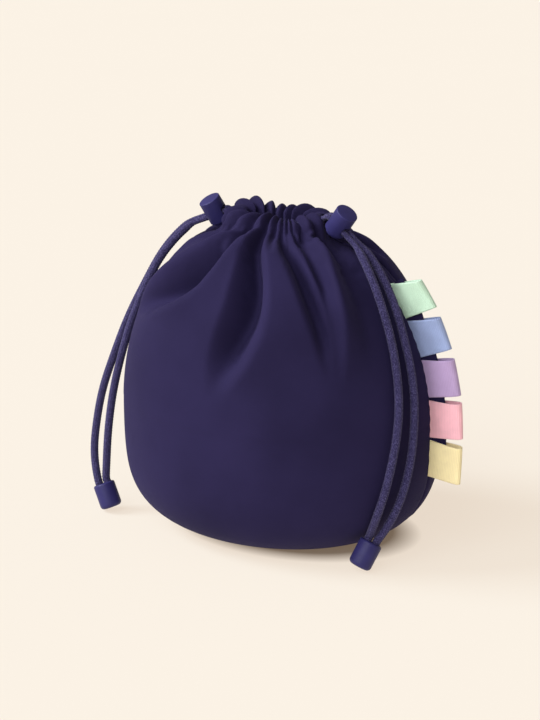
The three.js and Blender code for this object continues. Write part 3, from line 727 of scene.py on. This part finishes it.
def tube(name, line, along, radii, material, sides, braid=0.0, bumps=10):
    """A closed tube on a line. With braid, its surface rises and falls in a diamond braid."""
    first, second = carried_frames(line)
    angles = np.linspace(0, 2 * math.pi, sides, endpoint=False)
    weave = np.cos(bumps * angles)[None, :] + np.cos(2 * math.pi * along / BRAID_PITCH)[:, None]
    reach = np.broadcast_to(radii, along.shape)[:, None] + braid * weave / 2
    turn = angles[None, :, None]
    round_it = np.cos(turn) * first[:, None] + np.sin(turn) * second[:, None]
    points = (line[:, None] + reach[:, :, None] * round_it).reshape(-1, 3)
    return new_bar(name, points, sides, material, grid_uvs(angles * CORD_DIAMETER / 2, along))


# Bag surface


def smoothstep(x, low, high):
    share = np.clip((np.asarray(x, float) - low) / (high - low), 0, 1)
    return share * share * (3 - 2 * share)


def body_ratio(z):
    """The body's width at a height, as a share of its belly's."""
    drop = np.clip((BELLY_HEIGHT - z) / LOWER_HEIGHT, 0, 1)
    rise = np.clip((z - BELLY_HEIGHT) / SHOULDER_RISE, 0, 1)
    below = (1 - drop ** LOWER_FULLNESS) ** (1 / LOWER_FULLNESS)
    return np.where(z < BELLY_HEIGHT, below, np.sqrt(1 - rise * rise))


def stadium(angle, radius):
    """The stadium of a radius about the neck's core, at an even share of its length round from +X."""
    folded = np.arcsin(np.clip(np.abs(np.sin(angle)), 0, 1))
    quarter = math.pi / 2 * radius
    along = folded / (math.pi / 2) * (quarter + NECK_CORE)
    turn = np.minimum(along, quarter) / radius
    straight = np.maximum(along - quarter, 0)
    x = np.sign(np.cos(angle) + TINY) * (NECK_CORE + radius * np.cos(turn) - straight)
    y = np.sign(np.sin(angle)) * radius * np.sin(turn)
    return x, y


def smooth_point(angle, z):
    """A point of the bag without folds."""
    ratio = body_ratio(z)
    foot = NECK_FOOT + NECK_TILT * np.sin(angle) ** 2
    blend = smoothstep(z - foot, 0, NECK_RISE)
    flare = SIDE_FLARE + (NECK_FLARE - SIDE_FLARE) * np.sin(angle) ** 2
    neck_x, neck_y = stadium(angle, NECK_RADIUS + flare * (1 - smoothstep(z, FLARE_FOOT, FLARE_TOP)))
    x = BELLY_WIDTH / 2 * ratio * np.cos(angle) * (1 - blend) + neck_x * blend
    x = x + BASE_SHIFT * (1 - smoothstep(z, 0, BASE_SHIFT_TOP))
    y = BELLY_DEPTH / 2 * ratio * np.sin(angle) * (1 - blend) + neck_y * blend
    y = y + SEAM_Y * smoothstep(z, BELLY_HEIGHT, NECK_FOOT)
    return np.stack(np.broadcast_arrays(x, y, z), axis=-1)


def outward_normal(angle, z):
    step = 0.01
    round_it = smooth_point(angle + step, z) - smooth_point(angle - step, z)
    rise = smooth_point(angle, z + step) - smooth_point(angle, np.maximum(z - step, 0))
    return unit(np.cross(round_it, rise))


def rise_of(vectors, normals):
    """How far each vector reaches along its normal."""
    return (vectors * normals).sum(axis=2)


def from_seam(degrees):
    """Degrees to the nearer side seam."""
    return np.minimum(np.abs(degrees), 180 - np.abs(degrees))


def line_at(line, z):
    """Angle and rise of a fold line at a height, with the line's corners rounded off."""
    heights, angles, rises = (np.array(part, float)[::-1] for part in zip(*line))
    near = z + LINE_ROUNDING * np.linspace(-1, 1, num=7)
    return np.interp(near, heights, angles).mean(), np.interp(near, heights, rises, left=0.0).mean()


def fold_rise(degrees, z, folds):
    """Rise of the folds along one row: knots at the ridges and valleys, with eased flanks between."""
    knots = sorted([line_at(line, z) for line in folds] + [(0.0, 0.0), (180.0, 0.0)])
    places, rises = np.array(knots).T
    i = np.clip(np.searchsorted(places, degrees, side="right") - 1, 0, len(places) - 2)
    share = np.clip((degrees - places[i]) / np.maximum(places[i + 1] - places[i], TINY), 0, 1)
    from_ridge = np.where(rises[i] > rises[i + 1], share, 1 - share)
    level, steep = (1 - np.cos(math.pi * from_ridge)) / 2, np.sin(math.pi / 2 * from_ridge)
    high = np.maximum(rises[i], rises[i + 1])
    low = np.minimum(rises[i], rises[i + 1])
    return high + (low - high) * (FLANK_MIX[0] * level + FLANK_MIX[1] * steep)


def gather_rise(degrees, z, gathers):
    total = np.zeros_like(degrees)
    for points, rise, half_width in gathers:
        heights, angles = (np.array(part, float)[::-1] for part in zip(*points))
        middle = np.interp(z, heights, angles)
        fade = smoothstep(z, heights[0], heights[0] + GATHER_FADE)
        total += rise * fade * np.exp(-((degrees - middle) / half_width) ** 2)
    return total


def fold_field(degrees, z):
    """Rise of the listed folds all the way round, at one height."""
    total = np.zeros_like(degrees)
    panels = ((degrees <= 0, FRONT_FOLDS, FRONT_GATHERS), (degrees > 0, BACK_FOLDS, BACK_GATHERS))
    for panel, folds, gathers in panels:
        total[panel] = fold_rise(degrees[panel], z, folds) + gather_rise(degrees[panel], z, gathers)
    return total


def puff(degrees, puffs):
    """From a puff's size at its middle down to the creases beside it, which are deeper between wide puffs."""
    middles, sizes = np.array(sorted(puffs), float).T
    creases = (middles[1:] + middles[:-1]) / 2
    edges = np.concatenate([[2 * middles[0] - creases[0]], creases, [2 * middles[-1] - creases[-1]]])
    depths = np.minimum(np.diff(middles) / WIDE_PUFF, 1) * DEEPEST_CREASE
    depths = np.concatenate([depths[:1], depths, depths[-1:]])
    i = np.clip(np.searchsorted(creases, degrees), 0, len(middles) - 1)
    after = (degrees >= middles[i]).astype(int)
    half = np.abs(edges[i + after] - middles[i])
    share = np.clip(np.abs(degrees - middles[i]) / half, 0, 1)
    return sizes[i] - (depths[i + after] + sizes[i]) * share ** PUFF_ROUNDNESS


def ruffle_round(degrees):
    ruffle = np.where(degrees <= 0, puff(degrees, FRONT_PUFFS), puff(degrees, BACK_PUFFS))
    return ruffle * smoothstep(from_seam(degrees), *RUFFLE_ENDS)


def seam_groove(degrees, z):
    """The panels roll in where they are sewn together at the sides, with small puckers."""
    width = BELLY_WIDTH / 2 * body_ratio(np.minimum(z, NECK_FOOT))
    distance = from_seam(degrees) * math.pi / 180 * width
    pucker = PUCKER_RISE * np.sin(z * PUCKER_TURN) * np.exp(-distance / PUCKER_REACH)
    return -SEAM_DEPTH * np.exp(-distance / SEAM_REACH) + pucker


def even_heights(low, high, count):
    """Heights an even step apart along the middle of the front."""
    z = np.linspace(low, high, num=400)
    lengths = distances(smooth_point(np.full_like(z, -math.pi / 2), z))
    return np.interp(np.linspace(0, lengths[-1], count), lengths, z)


def bag_rows(degrees):
    """The outside of the bag with its folds drawn in, row by row from the base to the hem's shoulder."""
    lower = BELLY_HEIGHT * np.linspace(0, 1, LOWER_ROWS + 1)[:-1] ** LOWER_CROWDING
    heights = np.concatenate([lower, even_heights(BELLY_HEIGHT, HEM_SHOULDER, UPPER_ROWS)])
    angle = np.radians(degrees)
    ruffle = ruffle_round(degrees)
    smooth, normals, drawn = [], [], []
    for z in heights:
        level = np.full_like(angle, z)
        lost = FOLDS_LOST_AT_HEM * smoothstep(z, NECK_FOOT + NECK_TILT, HEM_SHOULDER)
        rise = fold_field(degrees, z) * (1 - lost)
        rise = rise + RUFFLE_RISE * ruffle * smoothstep(z, NECK_FOOT - NECK_TILT, HEM_SHOULDER)
        smooth.append(smooth_point(angle, level))
        normals.append(outward_normal(angle, level))
        drawn.append(smooth[-1] + normals[-1] * rise[:, None])
    return heights, np.array(smooth), np.array(normals), np.array(drawn)


def strand_room(points, normals):
    """How far each point may rise along its normal and stay clear of the free strands beside it."""
    clear = CORD_DIAMETER / 2 + CLEARANCE
    room = np.full(points.shape[:2], np.inf)
    for side, which in STRAND_ROUTES:
        line, _ = strand_line(side, which)
        for place in line[STRAND_FROM::STRAND_EVERY]:
            gap = place - points
            height = rise_of(gap, normals)
            aside = np.sqrt(np.maximum((gap * gap).sum(axis=2) - height * height, 0))
            under = height - np.sqrt(np.maximum(clear * clear - aside * aside, 0))
            under = under + np.maximum(aside - clear, 0)
            beside = (aside < STRAND_REACH) & (height > -CORD_DIAMETER)
            room = np.where(beside, np.minimum(room, under), room)
    return room


def settle(points, smooth, normals, heights, room, degrees):
    """Lets the gathered cloth settle: its threads keep their flat length, the filling presses it out, and it
    is held at the hem, at the side seams and on the filled lower body."""
    rows, columns = points.shape[:2]

    def spans(grid, down, across):
        return np.linalg.norm(np.roll(grid, -across, axis=1)[down:] - grid[:rows - down], axis=2)

    back = (degrees > 0)[None, :]
    spare = np.minimum(1 / body_ratio(np.minimum(heights, NECK_FOOT)), MOST_BACK_GATHER)[:, None]
    hold = smoothstep(heights, NECK_FOOT, HELD_ABOVE)[:, None]
    loose_back = spans(smooth, 0, 1) * spare * (1 - hold) + spans(points, 0, 1) * hold
    flat_across = np.where(back, loose_back, spans(points, 0, 1) * (1 + FRONT_SLACK))
    flat_up = spans(smooth, 1, 0) * (1 + MERIDIAN_SLACK * smoothstep(heights[:-1], *SLACK_GROWS)[:, None])
    free = np.ones((rows, columns))
    free[(heights < HELD_BELOW) | (heights > HELD_ABOVE)] = 0
    free[np.ix_(heights < SEAM_HELD_BELOW, from_seam(degrees) < ON_SEAM)] = 0
    weights = free.ravel()
    free = free[:, :, None]
    index = np.arange(rows * columns).reshape(rows, columns)
    links = []

    def add_links(down, across, rest, firmness, push_only=False):
        """Links between points some rows and columns apart, in two sets that use no point twice."""
        start = index[:rows - down]
        stop = np.roll(index, -across, axis=1)[down:]
        stride = max(down, abs(across))
        steps = np.arange(rows - down)[:, None] if down >= abs(across) else np.arange(columns)
        phase = np.broadcast_to(steps, start.shape)
        for k in range(2):
            pick = ((phase // stride) % 2 == k) & (weights[start] + weights[stop] > 0)
            a, b = start[pick], stop[pick]
            share = (weights[a] / (weights[a] + weights[b]))[:, None]
            links.append((a, b, rest[pick], share, firmness, push_only))

    def reach(rest, count, axis):
        return sum(np.roll(rest, -k, axis=axis) for k in range(count))

    diagonal = np.hypot(flat_across[:-1], flat_up)
    add_links(0, 1, flat_across, THREAD_FIRMNESS)
    add_links(1, 0, flat_up, THREAD_FIRMNESS)
    add_links(1, 1, diagonal, DIAGONAL_FIRMNESS)
    add_links(1, -1, diagonal, DIAGONAL_FIRMNESS)
    for count, firmness in BEND_FIRMNESS.items():
        add_links(0, count, reach(flat_across, count, 1), firmness, True)
        add_links(count, 0, reach(flat_up, count, 0)[:rows - count], firmness, True)

    side_drift = np.where(back, np.inf, SIDE_DRIFT)[:, :, None]
    drift = np.where(back, BACK_DRIFT, FRONT_DRIFT)
    drift = LEAST_DRIFT + drift * smoothstep(heights, *DRIFT_GROWS)[:, None]
    drawn_rise = rise_of(points - smooth, normals)
    lowest = drawn_rise - drift
    highest = np.maximum(np.minimum(drawn_rise + drift, room), lowest)
    filled = smoothstep(heights, *FILL_GROWS) * (1 - smoothstep(heights, *FILL_FADES))
    pressed = free * FILL_PRESS * filled[:, None, None]
    grid = points
    for _ in range(SETTLE_ROUNDS):
        round_it = np.roll(grid, -1, axis=1) - np.roll(grid, 1, axis=1)
        outward = unit(np.cross(round_it, np.gradient(grid, axis=0)), TINY)
        cloth = (grid + outward * pressed).reshape(-1, 3)
        for a, b, length, share, firmness, push_only in links:
            gap = cloth[b] - cloth[a]
            now = np.linalg.norm(gap, axis=1)
            change = (now - length) / now * firmness
            if push_only:
                change = np.minimum(change, 0)
            gap *= change[:, None]
            cloth[a] += share * gap
            cloth[b] -= (1 - share) * gap
        grid = cloth.reshape(rows, columns, 3)
        offset = rise_of(grid - smooth, normals)
        grid = grid + normals * (np.clip(offset, lowest, highest) - offset)[:, :, None]
        slide = grid - points
        slide -= normals * rise_of(slide, normals)[:, :, None]
        too_far = np.maximum(np.linalg.norm(slide, axis=2, keepdims=True) / side_drift, 1)
        grid = np.where(free > 0, grid - slide * (1 - 1 / too_far), points)
    for _ in range(EVENING_ROUNDS):
        even = (np.roll(grid, 1, axis=1) + np.roll(grid, -1, axis=1)) / 2
        even[1:-1] = (even[1:-1] + (grid[2:] + grid[:-2]) / 2) / 2
        grid = grid + free * EVENING * (even - grid)
    return grid


def hem_rows(outer_edge, degrees):
    """The hem curls over its crest and down the inside."""
    ruffle = ruffle_round(degrees)
    x, y = stadium(np.radians(degrees), HEM_INNER_RADIUS)
    inner_edge = np.stack([x, y + SEAM_Y, outer_edge[:, 2]], axis=-1)
    inner_edge = inner_edge + unit(inner_edge - outer_edge) * (INNER_RUFFLE * ruffle)[:, None]
    calmer = np.where(degrees < 0, np.maximum(ruffle, -FRONT_CREASE), ruffle)
    crest = HEM_TOP - HEM_SHOULDER + CREST_RISE * calmer
    crest = crest + RIGHT_COVER * np.exp(-((degrees - RIGHT_COVER_AT) / RIGHT_COVER_WIDTH) ** 2)
    rows = []
    for turn in np.linspace(0, math.pi, CREST_ROWS + 1)[1:]:
        row = (outer_edge + inner_edge) / 2 + (outer_edge - inner_edge) / 2 * math.cos(turn)
        row[:, 2] += crest * math.sin(turn)
        rows.append(row)
    for share in np.linspace(0, 1, HEM_INNER_ROWS + 1)[1:]:
        z = inner_edge[:, 2] * (1 - share) + HEM_FOOT * share
        rows.append(np.column_stack([inner_edge[:, :2], z]))
    return np.array(rows)


def shaped_bag():
    """All rows of the bag, from the middle of its base to the inside of its hem, and the columns' angles."""
    degrees = np.linspace(-180, 180, 2 * PANEL_COLUMNS, endpoint=False)
    heights, smooth, normals, drawn = bag_rows(degrees)
    room = strand_room(smooth, normals)
    rise = rise_of(drawn - smooth, normals)
    outside = drawn + normals * (np.minimum(rise, room) - rise)[:, :, None]
    first = int(np.searchsorted(heights, SETTLE_FROM))
    upper = [part[first:] for part in (outside, smooth, normals, heights, room)]
    outside[first:] = settle(*upper, degrees)
    angle = np.radians(degrees)
    drop = HEM_FRONT_DROP * np.maximum(-np.sin(angle), 0) + HEM_RIGHT_DROP * np.cos(angle)
    outside[:, :, 2] -= drop * smoothstep(heights, NECK_FOOT, HEM_SHOULDER)[:, None]
    bottom = [outside[0] * (share, share, 1) for share in BOTTOM_SHARES]
    return np.concatenate([bottom, outside, hem_rows(outside[-1], degrees)]), degrees


def between_columns(grid, places):
    """The grid's columns at fractional places."""
    low = np.clip(np.floor(places).astype(int), 0, grid.shape[1] - 2)
    share = (places - low)[None, :, None]
    return grid[:, low] * (1 - share) + grid[:, low + 1] * share


def make_panel(side, rows, degrees, material):
    """One panel, with its side edges rolled into the seams and its hem open where the cords come out."""
    last = len(degrees) - 1
    near = np.array(SEAM_COLUMNS)
    whole = math.ceil(near[-1])
    places = np.concatenate([near, np.arange(whole, last - whole + 1), last - near[::-1]])
    rows = between_columns(rows, places)
    degrees = np.interp(places, np.arange(last + 1), degrees)
    count, columns = rows.shape[:2]
    normals = unit(np.cross(np.gradient(rows, axis=1), np.gradient(rows, axis=0)), TINY)
    groove = np.array([seam_groove(degrees, row.mean(axis=0)[2]) for row in rows])
    groove[:len(BOTTOM_SHARES)] = 0
    groove[HEM_START:] = 0
    rows = rows + normals * groove[:, :, None]
    steps = np.linalg.norm(np.diff(rows, axis=0), axis=2).mean(axis=1)
    up = np.concatenate([[0], np.cumsum(steps)])
    across = np.radians(degrees - degrees[0]) * (BELLY_WIDTH + BELLY_DEPTH) / 4
    open_side = from_seam(degrees) < EXIT_ANGLE
    low_row = int(np.searchsorted(rows[:HEM_START, :, 2].mean(axis=1), EXIT_FOOT))
    faces = []
    for face in grid_faces(count, columns):
        row, column = divmod(face[0], columns)
        high_row = HEM_START + RIGHT_EXIT_ROWS if abs(degrees[column]) < 90 else HEM_START
        cord_way = open_side[column] and open_side[column + 1] and low_row <= row < high_row
        if not cord_way:
            faces.append(face)
    panel = new_object(f"{side}_cloth", rows.reshape(-1, 3), faces, material, grid_uvs(across, up))
    with edited(panel) as work:
        bmesh.ops.delete(work, geom=[v for v in work.verts if not v.link_faces], context="VERTS")
    thicken(panel, FABRIC_THICKNESS, offset=-1.0)
    finish_piece(panel, "bag", f"{side}_panel")


# Ribbon loops


def loop_frames():
    """A frame for each loop, an even pitch apart up the side seam."""
    frames = []
    travelled = 0.0
    z = LOWEST_LOOP_HEIGHT
    while len(frames) < len(RIBBONS):
        here, following = (smooth_point(0.0, np.array(level)) for level in (z, z + LOOP_SEARCH_STEP))
        if travelled >= len(frames) * LOOP_PITCH:
            up = following - here
            up[1] = 0
            up = unit(up)
            frames.append(frame_at((here[0], SEAM_Y, here[2]), up, (up[2], 0, -up[0])))
        travelled += np.linalg.norm(following - here)
        z += LOOP_SEARCH_STEP
    return frames


def loop_line(gap):
    """The ribbon's way out of the seam, round and back, as distance out and sideways."""
    end = LOOP_REACH - gap / 2
    way = [
        (-LOOP_TAIL, LOOP_TAIL_HALF),
        (0, LOOP_FOOT_HALF),
        (LOOP_REACH * LOOP_FLANK[0], LOOP_FLANK[1] * gap),
        (end * LOOP_SHOULDER[0], LOOP_SHOULDER[1] * gap),
    ]
    way += arc(end, 0, gap / 2, start=80, stop=0, count=5)
    upper = np.array([(x, y, 0) for x, y in way])
    lower = (upper * (1, -1, 1))[::-1][1:]
    return even_line(catmull_rom(np.vstack([upper, lower]), per_segment=8), LOOP_STEP)


def make_loop(name, place, colour, opening, droop):
    """A folded ribbon: the loop stands a little more open at its upper edge, and its outer end droops."""
    across = np.linspace(-RIBBON_WIDTH / 2, RIBBON_WIDTH / 2, LOOP_COLUMNS)
    shares = (across + RIBBON_WIDTH / 2) / RIBBON_WIDTH
    lines = [loop_line(opening * (LOWER_OPENING + OPENING_GAIN * share)) for share in shares]
    samples = len(lines[0][0])
    picks = np.linspace(0, 1, samples)
    rows, uvs = [], []
    for z, share, (line, along) in zip(across, shares, lines):
        whole = np.linspace(0, 1, len(line))
        row = np.stack([np.interp(picks, whole, line[:, k]) for k in range(3)], axis=1)
        out = np.clip(row[:, 0] / LOOP_REACH, 0, 1)
        row[:, 2] = z + out * (droop[0] * (1 - share) + droop[1] * share)
        row[:, 1] += LOOP_BOW * out * np.sin(share * math.pi)
        rows.append(row)
        uvs.append(np.stack([np.full(samples, z), np.interp(picks, whole, along)], axis=-1))
    points = moved(place, np.array(rows).reshape(-1, 3))
    material = ribbon_material(name, colour)
    faces = grid_faces(LOOP_COLUMNS, samples)
    loop = new_object(f"{name}_ribbon", points, faces, material, np.array(uvs).reshape(-1, 2))
    thicken(loop, RIBBON_THICKNESS, offset=0.0)
    finish_piece(loop, "bag", f"{name}_loop")


def make_seam_edge(material):
    """The seam's edge stands out of the side between the loops, which are folded over it."""
    highest = loop_frames()[-1][2, 3]
    z = np.linspace(LOWEST_LOOP_HEIGHT - SEAM_EDGE_TAIL, highest + SEAM_EDGE_TAIL, SEAM_EDGE_ROWS)
    seam = smooth_point(np.zeros_like(z), z)
    seam[:, 1] = SEAM_Y
    up = unit(np.gradient(seam, axis=0))
    out = np.stack([up[:, 2], np.zeros_like(z), -up[:, 0]], axis=1)
    half = FABRIC_THICKNESS / 2
    side = [(-SEAM_EDGE_HELD, -half), (SEAM_EDGE - half, -half), (SEAM_EDGE, 0)]
    section = side + [(reach, -aside) for reach, aside in side[1::-1]]
    points = np.stack([seam + reach * out + (0, aside, 0) for reach, aside in section], axis=1).reshape(-1, 3)
    lengths = distances(seam)
    uvs = grid_uvs([reach for reach, _ in section], lengths)
    edge = new_bar("seam_edge", points, len(section), material, uvs)
    fix_normals(edge)
    soften_edges(edge)
    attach(edge, "bag")


# Cord locks and cord ends


def lathe(name, profile, material, sides=64):
    """A closed turned solid: its profile is given as radius and height, from the axis to the axis."""
    angles = np.linspace(0, 2 * math.pi, sides, endpoint=False)
    inner = profile[1:-1]
    points = [(r * math.cos(a), r * math.sin(a), z) for r, z in inner for a in angles]
    faces = grid_faces(len(inner), sides, closed=True)
    first, last = len(points), len(points) + 1
    points += [(0, 0, profile[0][1]), (0, 0, profile[-1][1])]
    top = (len(inner) - 1) * sides
    for j in range(sides):
        k = (j + 1) % sides
        faces.append((first, k, j))
        faces.append((last, top + j, top + k))
    return new_object(name, points, faces, material)


def rounded_profile(radius, low, high, low_round, high_round):
    """Half the outline of a turned solid with rounded edges, from the axis to the axis."""
    lower = arc(radius - low_round, low + low_round, low_round, -90, 0, count=6)
    upper = arc(radius - high_round, high - high_round, high_round, 0, 90, count=6)
    return [(0, low)] + lower + upper + [(0, high)]


def cutter_between(first, second):
    """A closed bar between two rings of points, which cuts its shape out of another piece."""
    cutter = new_bar("cutter", first + second, len(first), bpy.data.materials["navy_plastic"])
    fix_normals(cutter)
    return cutter


def slot_cutter(low, high, corner):
    """A bar with rounded edges, along X through the whole lock."""
    wide = SLOT_HALF_WIDTH - corner
    tall = (high - low) / 2 - corner
    outline = []
    for start, y, z in ((0, wide, tall), (90, -wide, tall), (180, -wide, -tall), (270, wide, -tall)):
        outline += arc(y, z, corner, start, start + 90, count=7)
    reach = 2 * LOCK_RADIUS
    first, second = ([(x, y, z + (high + low) / 2) for y, z in outline] for x in (-reach, reach))
    return cutter_between(first, second)


def mouth_cutter():
    """The hole for both tails of a cord, in the mouth of its cord end."""
    radius = CORD_DIAMETER / 2 + CLEARANCE
    offset = CORD_DIAMETER / 2 + CLEARANCE / 2
    outline = arc(offset, 0, radius, -90, 90, count=13) + arc(-offset, 0, radius, 90, 270, count=13)
    levels = (END_LENGTH / 2 - END_BORE_DEPTH, END_LENGTH / 2 + END_CUT_PAST)
    first, second = ([(x, y, z) for x, y in outline] for z in levels)
    return cutter_between(first, second)


def turned_piece(name, profile, cutter, place, body, node):
    """A turned plastic piece with a cut in it and small bevels on its edges."""
    piece = lathe(name, profile, bpy.data.materials["navy_plastic"])
    fix_normals(piece)
    boolean = piece.modifiers.new("cut", "BOOLEAN")
    boolean.operation = "DIFFERENCE"
    boolean.solver = "EXACT"
    boolean.object = cutter
    bevel = piece.modifiers.new("edges", "BEVEL")
    bevel.width = EDGE_BEVEL * MM
    bevel.segments = 2
    bevel.limit_method = "ANGLE"
    bevel.angle_limit = math.radians(BEVEL_ANGLE)
    apply_modifiers(piece)
    bpy.data.objects.remove(cutter)
    soften_edges(piece)
    matrix = Matrix(place.tolist())
    matrix.translation *= MM
    piece.data.transform(matrix)
    return finish_piece(piece, body, node)


def make_lock(side, steel):
    place = frame_at(**LOCK_PLACES[side])
    inside = [(0, LOCK_BORE_END), (LOCK_BORE_RADIUS, LOCK_BORE_END), (LOCK_BORE_RADIUS, LOCK_MOUTH)]
    barrel = inside + rounded_profile(LOCK_RADIUS, LOCK_MOUTH, LOCK_END, *LOCK_ROUNDS)[1:]
    turned_piece(f"{side}_barrel", barrel, slot_cutter(**LOCK_SLOT), place,
                 f"{side}_lock", f"{side}_lock_barrel")
    plunger = rounded_profile(PLUNGER_RADIUS, PLUNGER_FOOT, PLUNGER_CROWN, *PLUNGER_ROUNDS)
    turned_piece(f"{side}_plunger_pin", plunger, slot_cutter(**PLUNGER_SLOT), place,
                 f"{side}_plunger", f"{side}_lock_plunger")

    seat = SPRING_WIRE / 2 + CLEARANCE / 2
    radius = LOCK_BORE_RADIUS - SPRING_WIRE / 2 - 2 * CLEARANCE
    turn = np.linspace(0, 2 * math.pi * SPRING_TURNS, SPRING_POINTS)
    heights = np.linspace(PLUNGER_CROWN + seat, LOCK_BORE_END - seat, len(turn))
    helix = moved(place, np.stack([radius * np.cos(turn), radius * np.sin(turn), heights], axis=1))
    spring = tube(f"{side}_spring", *even_line(helix, SPRING_STEP), SPRING_WIRE / 2, steel, sides=10)
    finish_piece(spring, f"{side}_lock", f"{side}_lock_spring")
    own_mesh(spring)


def make_cord_end(side):
    half = END_LENGTH / 2
    profile = rounded_profile(END_RADIUS, -half, half, *END_ROUNDS)
    place = frame_at(**END_PLACES[side])
    return turned_piece(f"{side}_toggle_end", profile, mouth_cutter(), place, "bag", f"{side}_cord_end")


# Cords


def lock_points(side, which, stations, offset):
    """Points along one strand in a lock, which lies to one side of the lock's middle."""
    place = frame_at(**LOCK_PLACES[side])
    sign = 1 if (place[1, 1] < 0) == (which == "front") else -1
    return moved(place, [(x, sign * offset, 0) for x in stations])


def strand_line(side, which):
    """The way of one free strand, from inside its lock to inside its cord end."""
    inside = lock_points(side, which, HELD_RUN, SQUEEZED_DIAMETER / 2 + CLEARANCE / 2)
    start = STRAIGHT_RUN + CLEARANCE + CORD_DIAMETER
    outside = lock_points(side, which, [start], CORD_DIAMETER / 2 + CLEARANCE)
    mouth = END_LENGTH / 2
    levels = (mouth + CORD_DIAMETER / 2, mouth, mouth - END_BORE_DEPTH + CLEARANCE)
    across = (1 if which == "front" else -1) * (CORD_DIAMETER / 2 + CLEARANCE / 2)
    into_end = moved(frame_at(**END_PLACES[side]), [(across, 0, z) for z in levels])
    route = np.vstack([inside, outside, STRAND_ROUTES[side, which], into_end])
    line, along = even_line(catmull_rom(route, CURVE_STEPS), STRAND_STEP)
    arriving = smoothstep(along, *(along[-1] - np.array(CALM_BEFORE)))
    calm = (smoothstep(along, *CALM_AFTER) * (1 - arriving))[1:-1, None]
    for _ in range(CALMING_ROUNDS):
        line[1:-1] += calm * CALMING * ((line[2:] + line[:-2]) / 2 - line[1:-1])
    return even_line(line, STRAND_STEP)


def make_strand(side, which, material):
    line, along = strand_line(side, which)
    thin, full = SQUEEZED_DIAMETER / 2, (CORD_DIAMETER - STRAND_INSET) / 2
    radii = thin + (full - thin) * smoothstep(along, *FULL_ROUND)
    strand = tube(f"{side}_{which}_cord", line, along, radii, material, sides=40, braid=STRAND_BRAID)
    finish_piece(strand, "bag", f"{side}_{which}_strand")


def make_channel_cord(side, material):
    """The stretch from the lock, round the channel past the other side, and back to the lock."""
    far = 1 if side == "left" else -1
    level = CHANNEL_LEVELS[side]
    front_y, back_y = SEAM_Y - CHANNEL_RADIUS, SEAM_Y + CHANNEL_RADIUS
    bend = arc(NECK_CORE, SEAM_Y, CHANNEL_RADIUS, -90, 90, count=7)
    way = [(-NECK_CORE, front_y), (0, front_y)] + bend + [(0, back_y), (-NECK_CORE, back_y)]
    round_it = [(far * x, y, level) for x, y in way]
    stations = [CHANNEL_START, -LOCK_RADIUS - 2 * CLEARANCE]
    held = SQUEEZED_DIAMETER / 2 + CLEARANCE / 2
    front, back = (
        np.vstack([lock_points(side, which, stations, held), EXIT_ROUTES[side, which][::-1]])
        for which in ("front", "back")
    )
    route = np.vstack([front, round_it, back[::-1]])
    line, along = even_line(catmull_rom(route, CURVE_STEPS), CHANNEL_STEP)
    radius = SQUEEZED_DIAMETER / 2 - CHANNEL_INSET
    cord = tube(f"{side}_channel_cord", line, along, radius, material, sides=24, braid=CHANNEL_BRAID, bumps=6)
    finish_piece(cord, "bag", f"{side}_cord_in_channel")


add_camera()
add_light()
add_floor()

plastic_material()
cord_look = cord_material()
steel_look = steel_material()
for side in ("left", "right"):
    end = make_cord_end(side)
    for which in ("front", "back"):
        make_strand(side, which, cord_look)
    make_channel_cord(side, cord_look)
    make_lock(side, steel_look)

fabric = fabric_material()
bag, round_degrees = shaped_bag()
closed = np.concatenate([bag, bag[:, :1]], axis=1)
closed_degrees = np.append(round_degrees, 180.0)
half = PANEL_COLUMNS
for side, columns in (("front", slice(0, half + 1)), ("back", slice(half, None))):
    make_panel(side, closed[:, columns], closed_degrees[columns], fabric)

for place, (name, look) in zip(loop_frames(), RIBBONS.items()):
    make_loop(name, place, **look)
make_seam_edge(fabric)
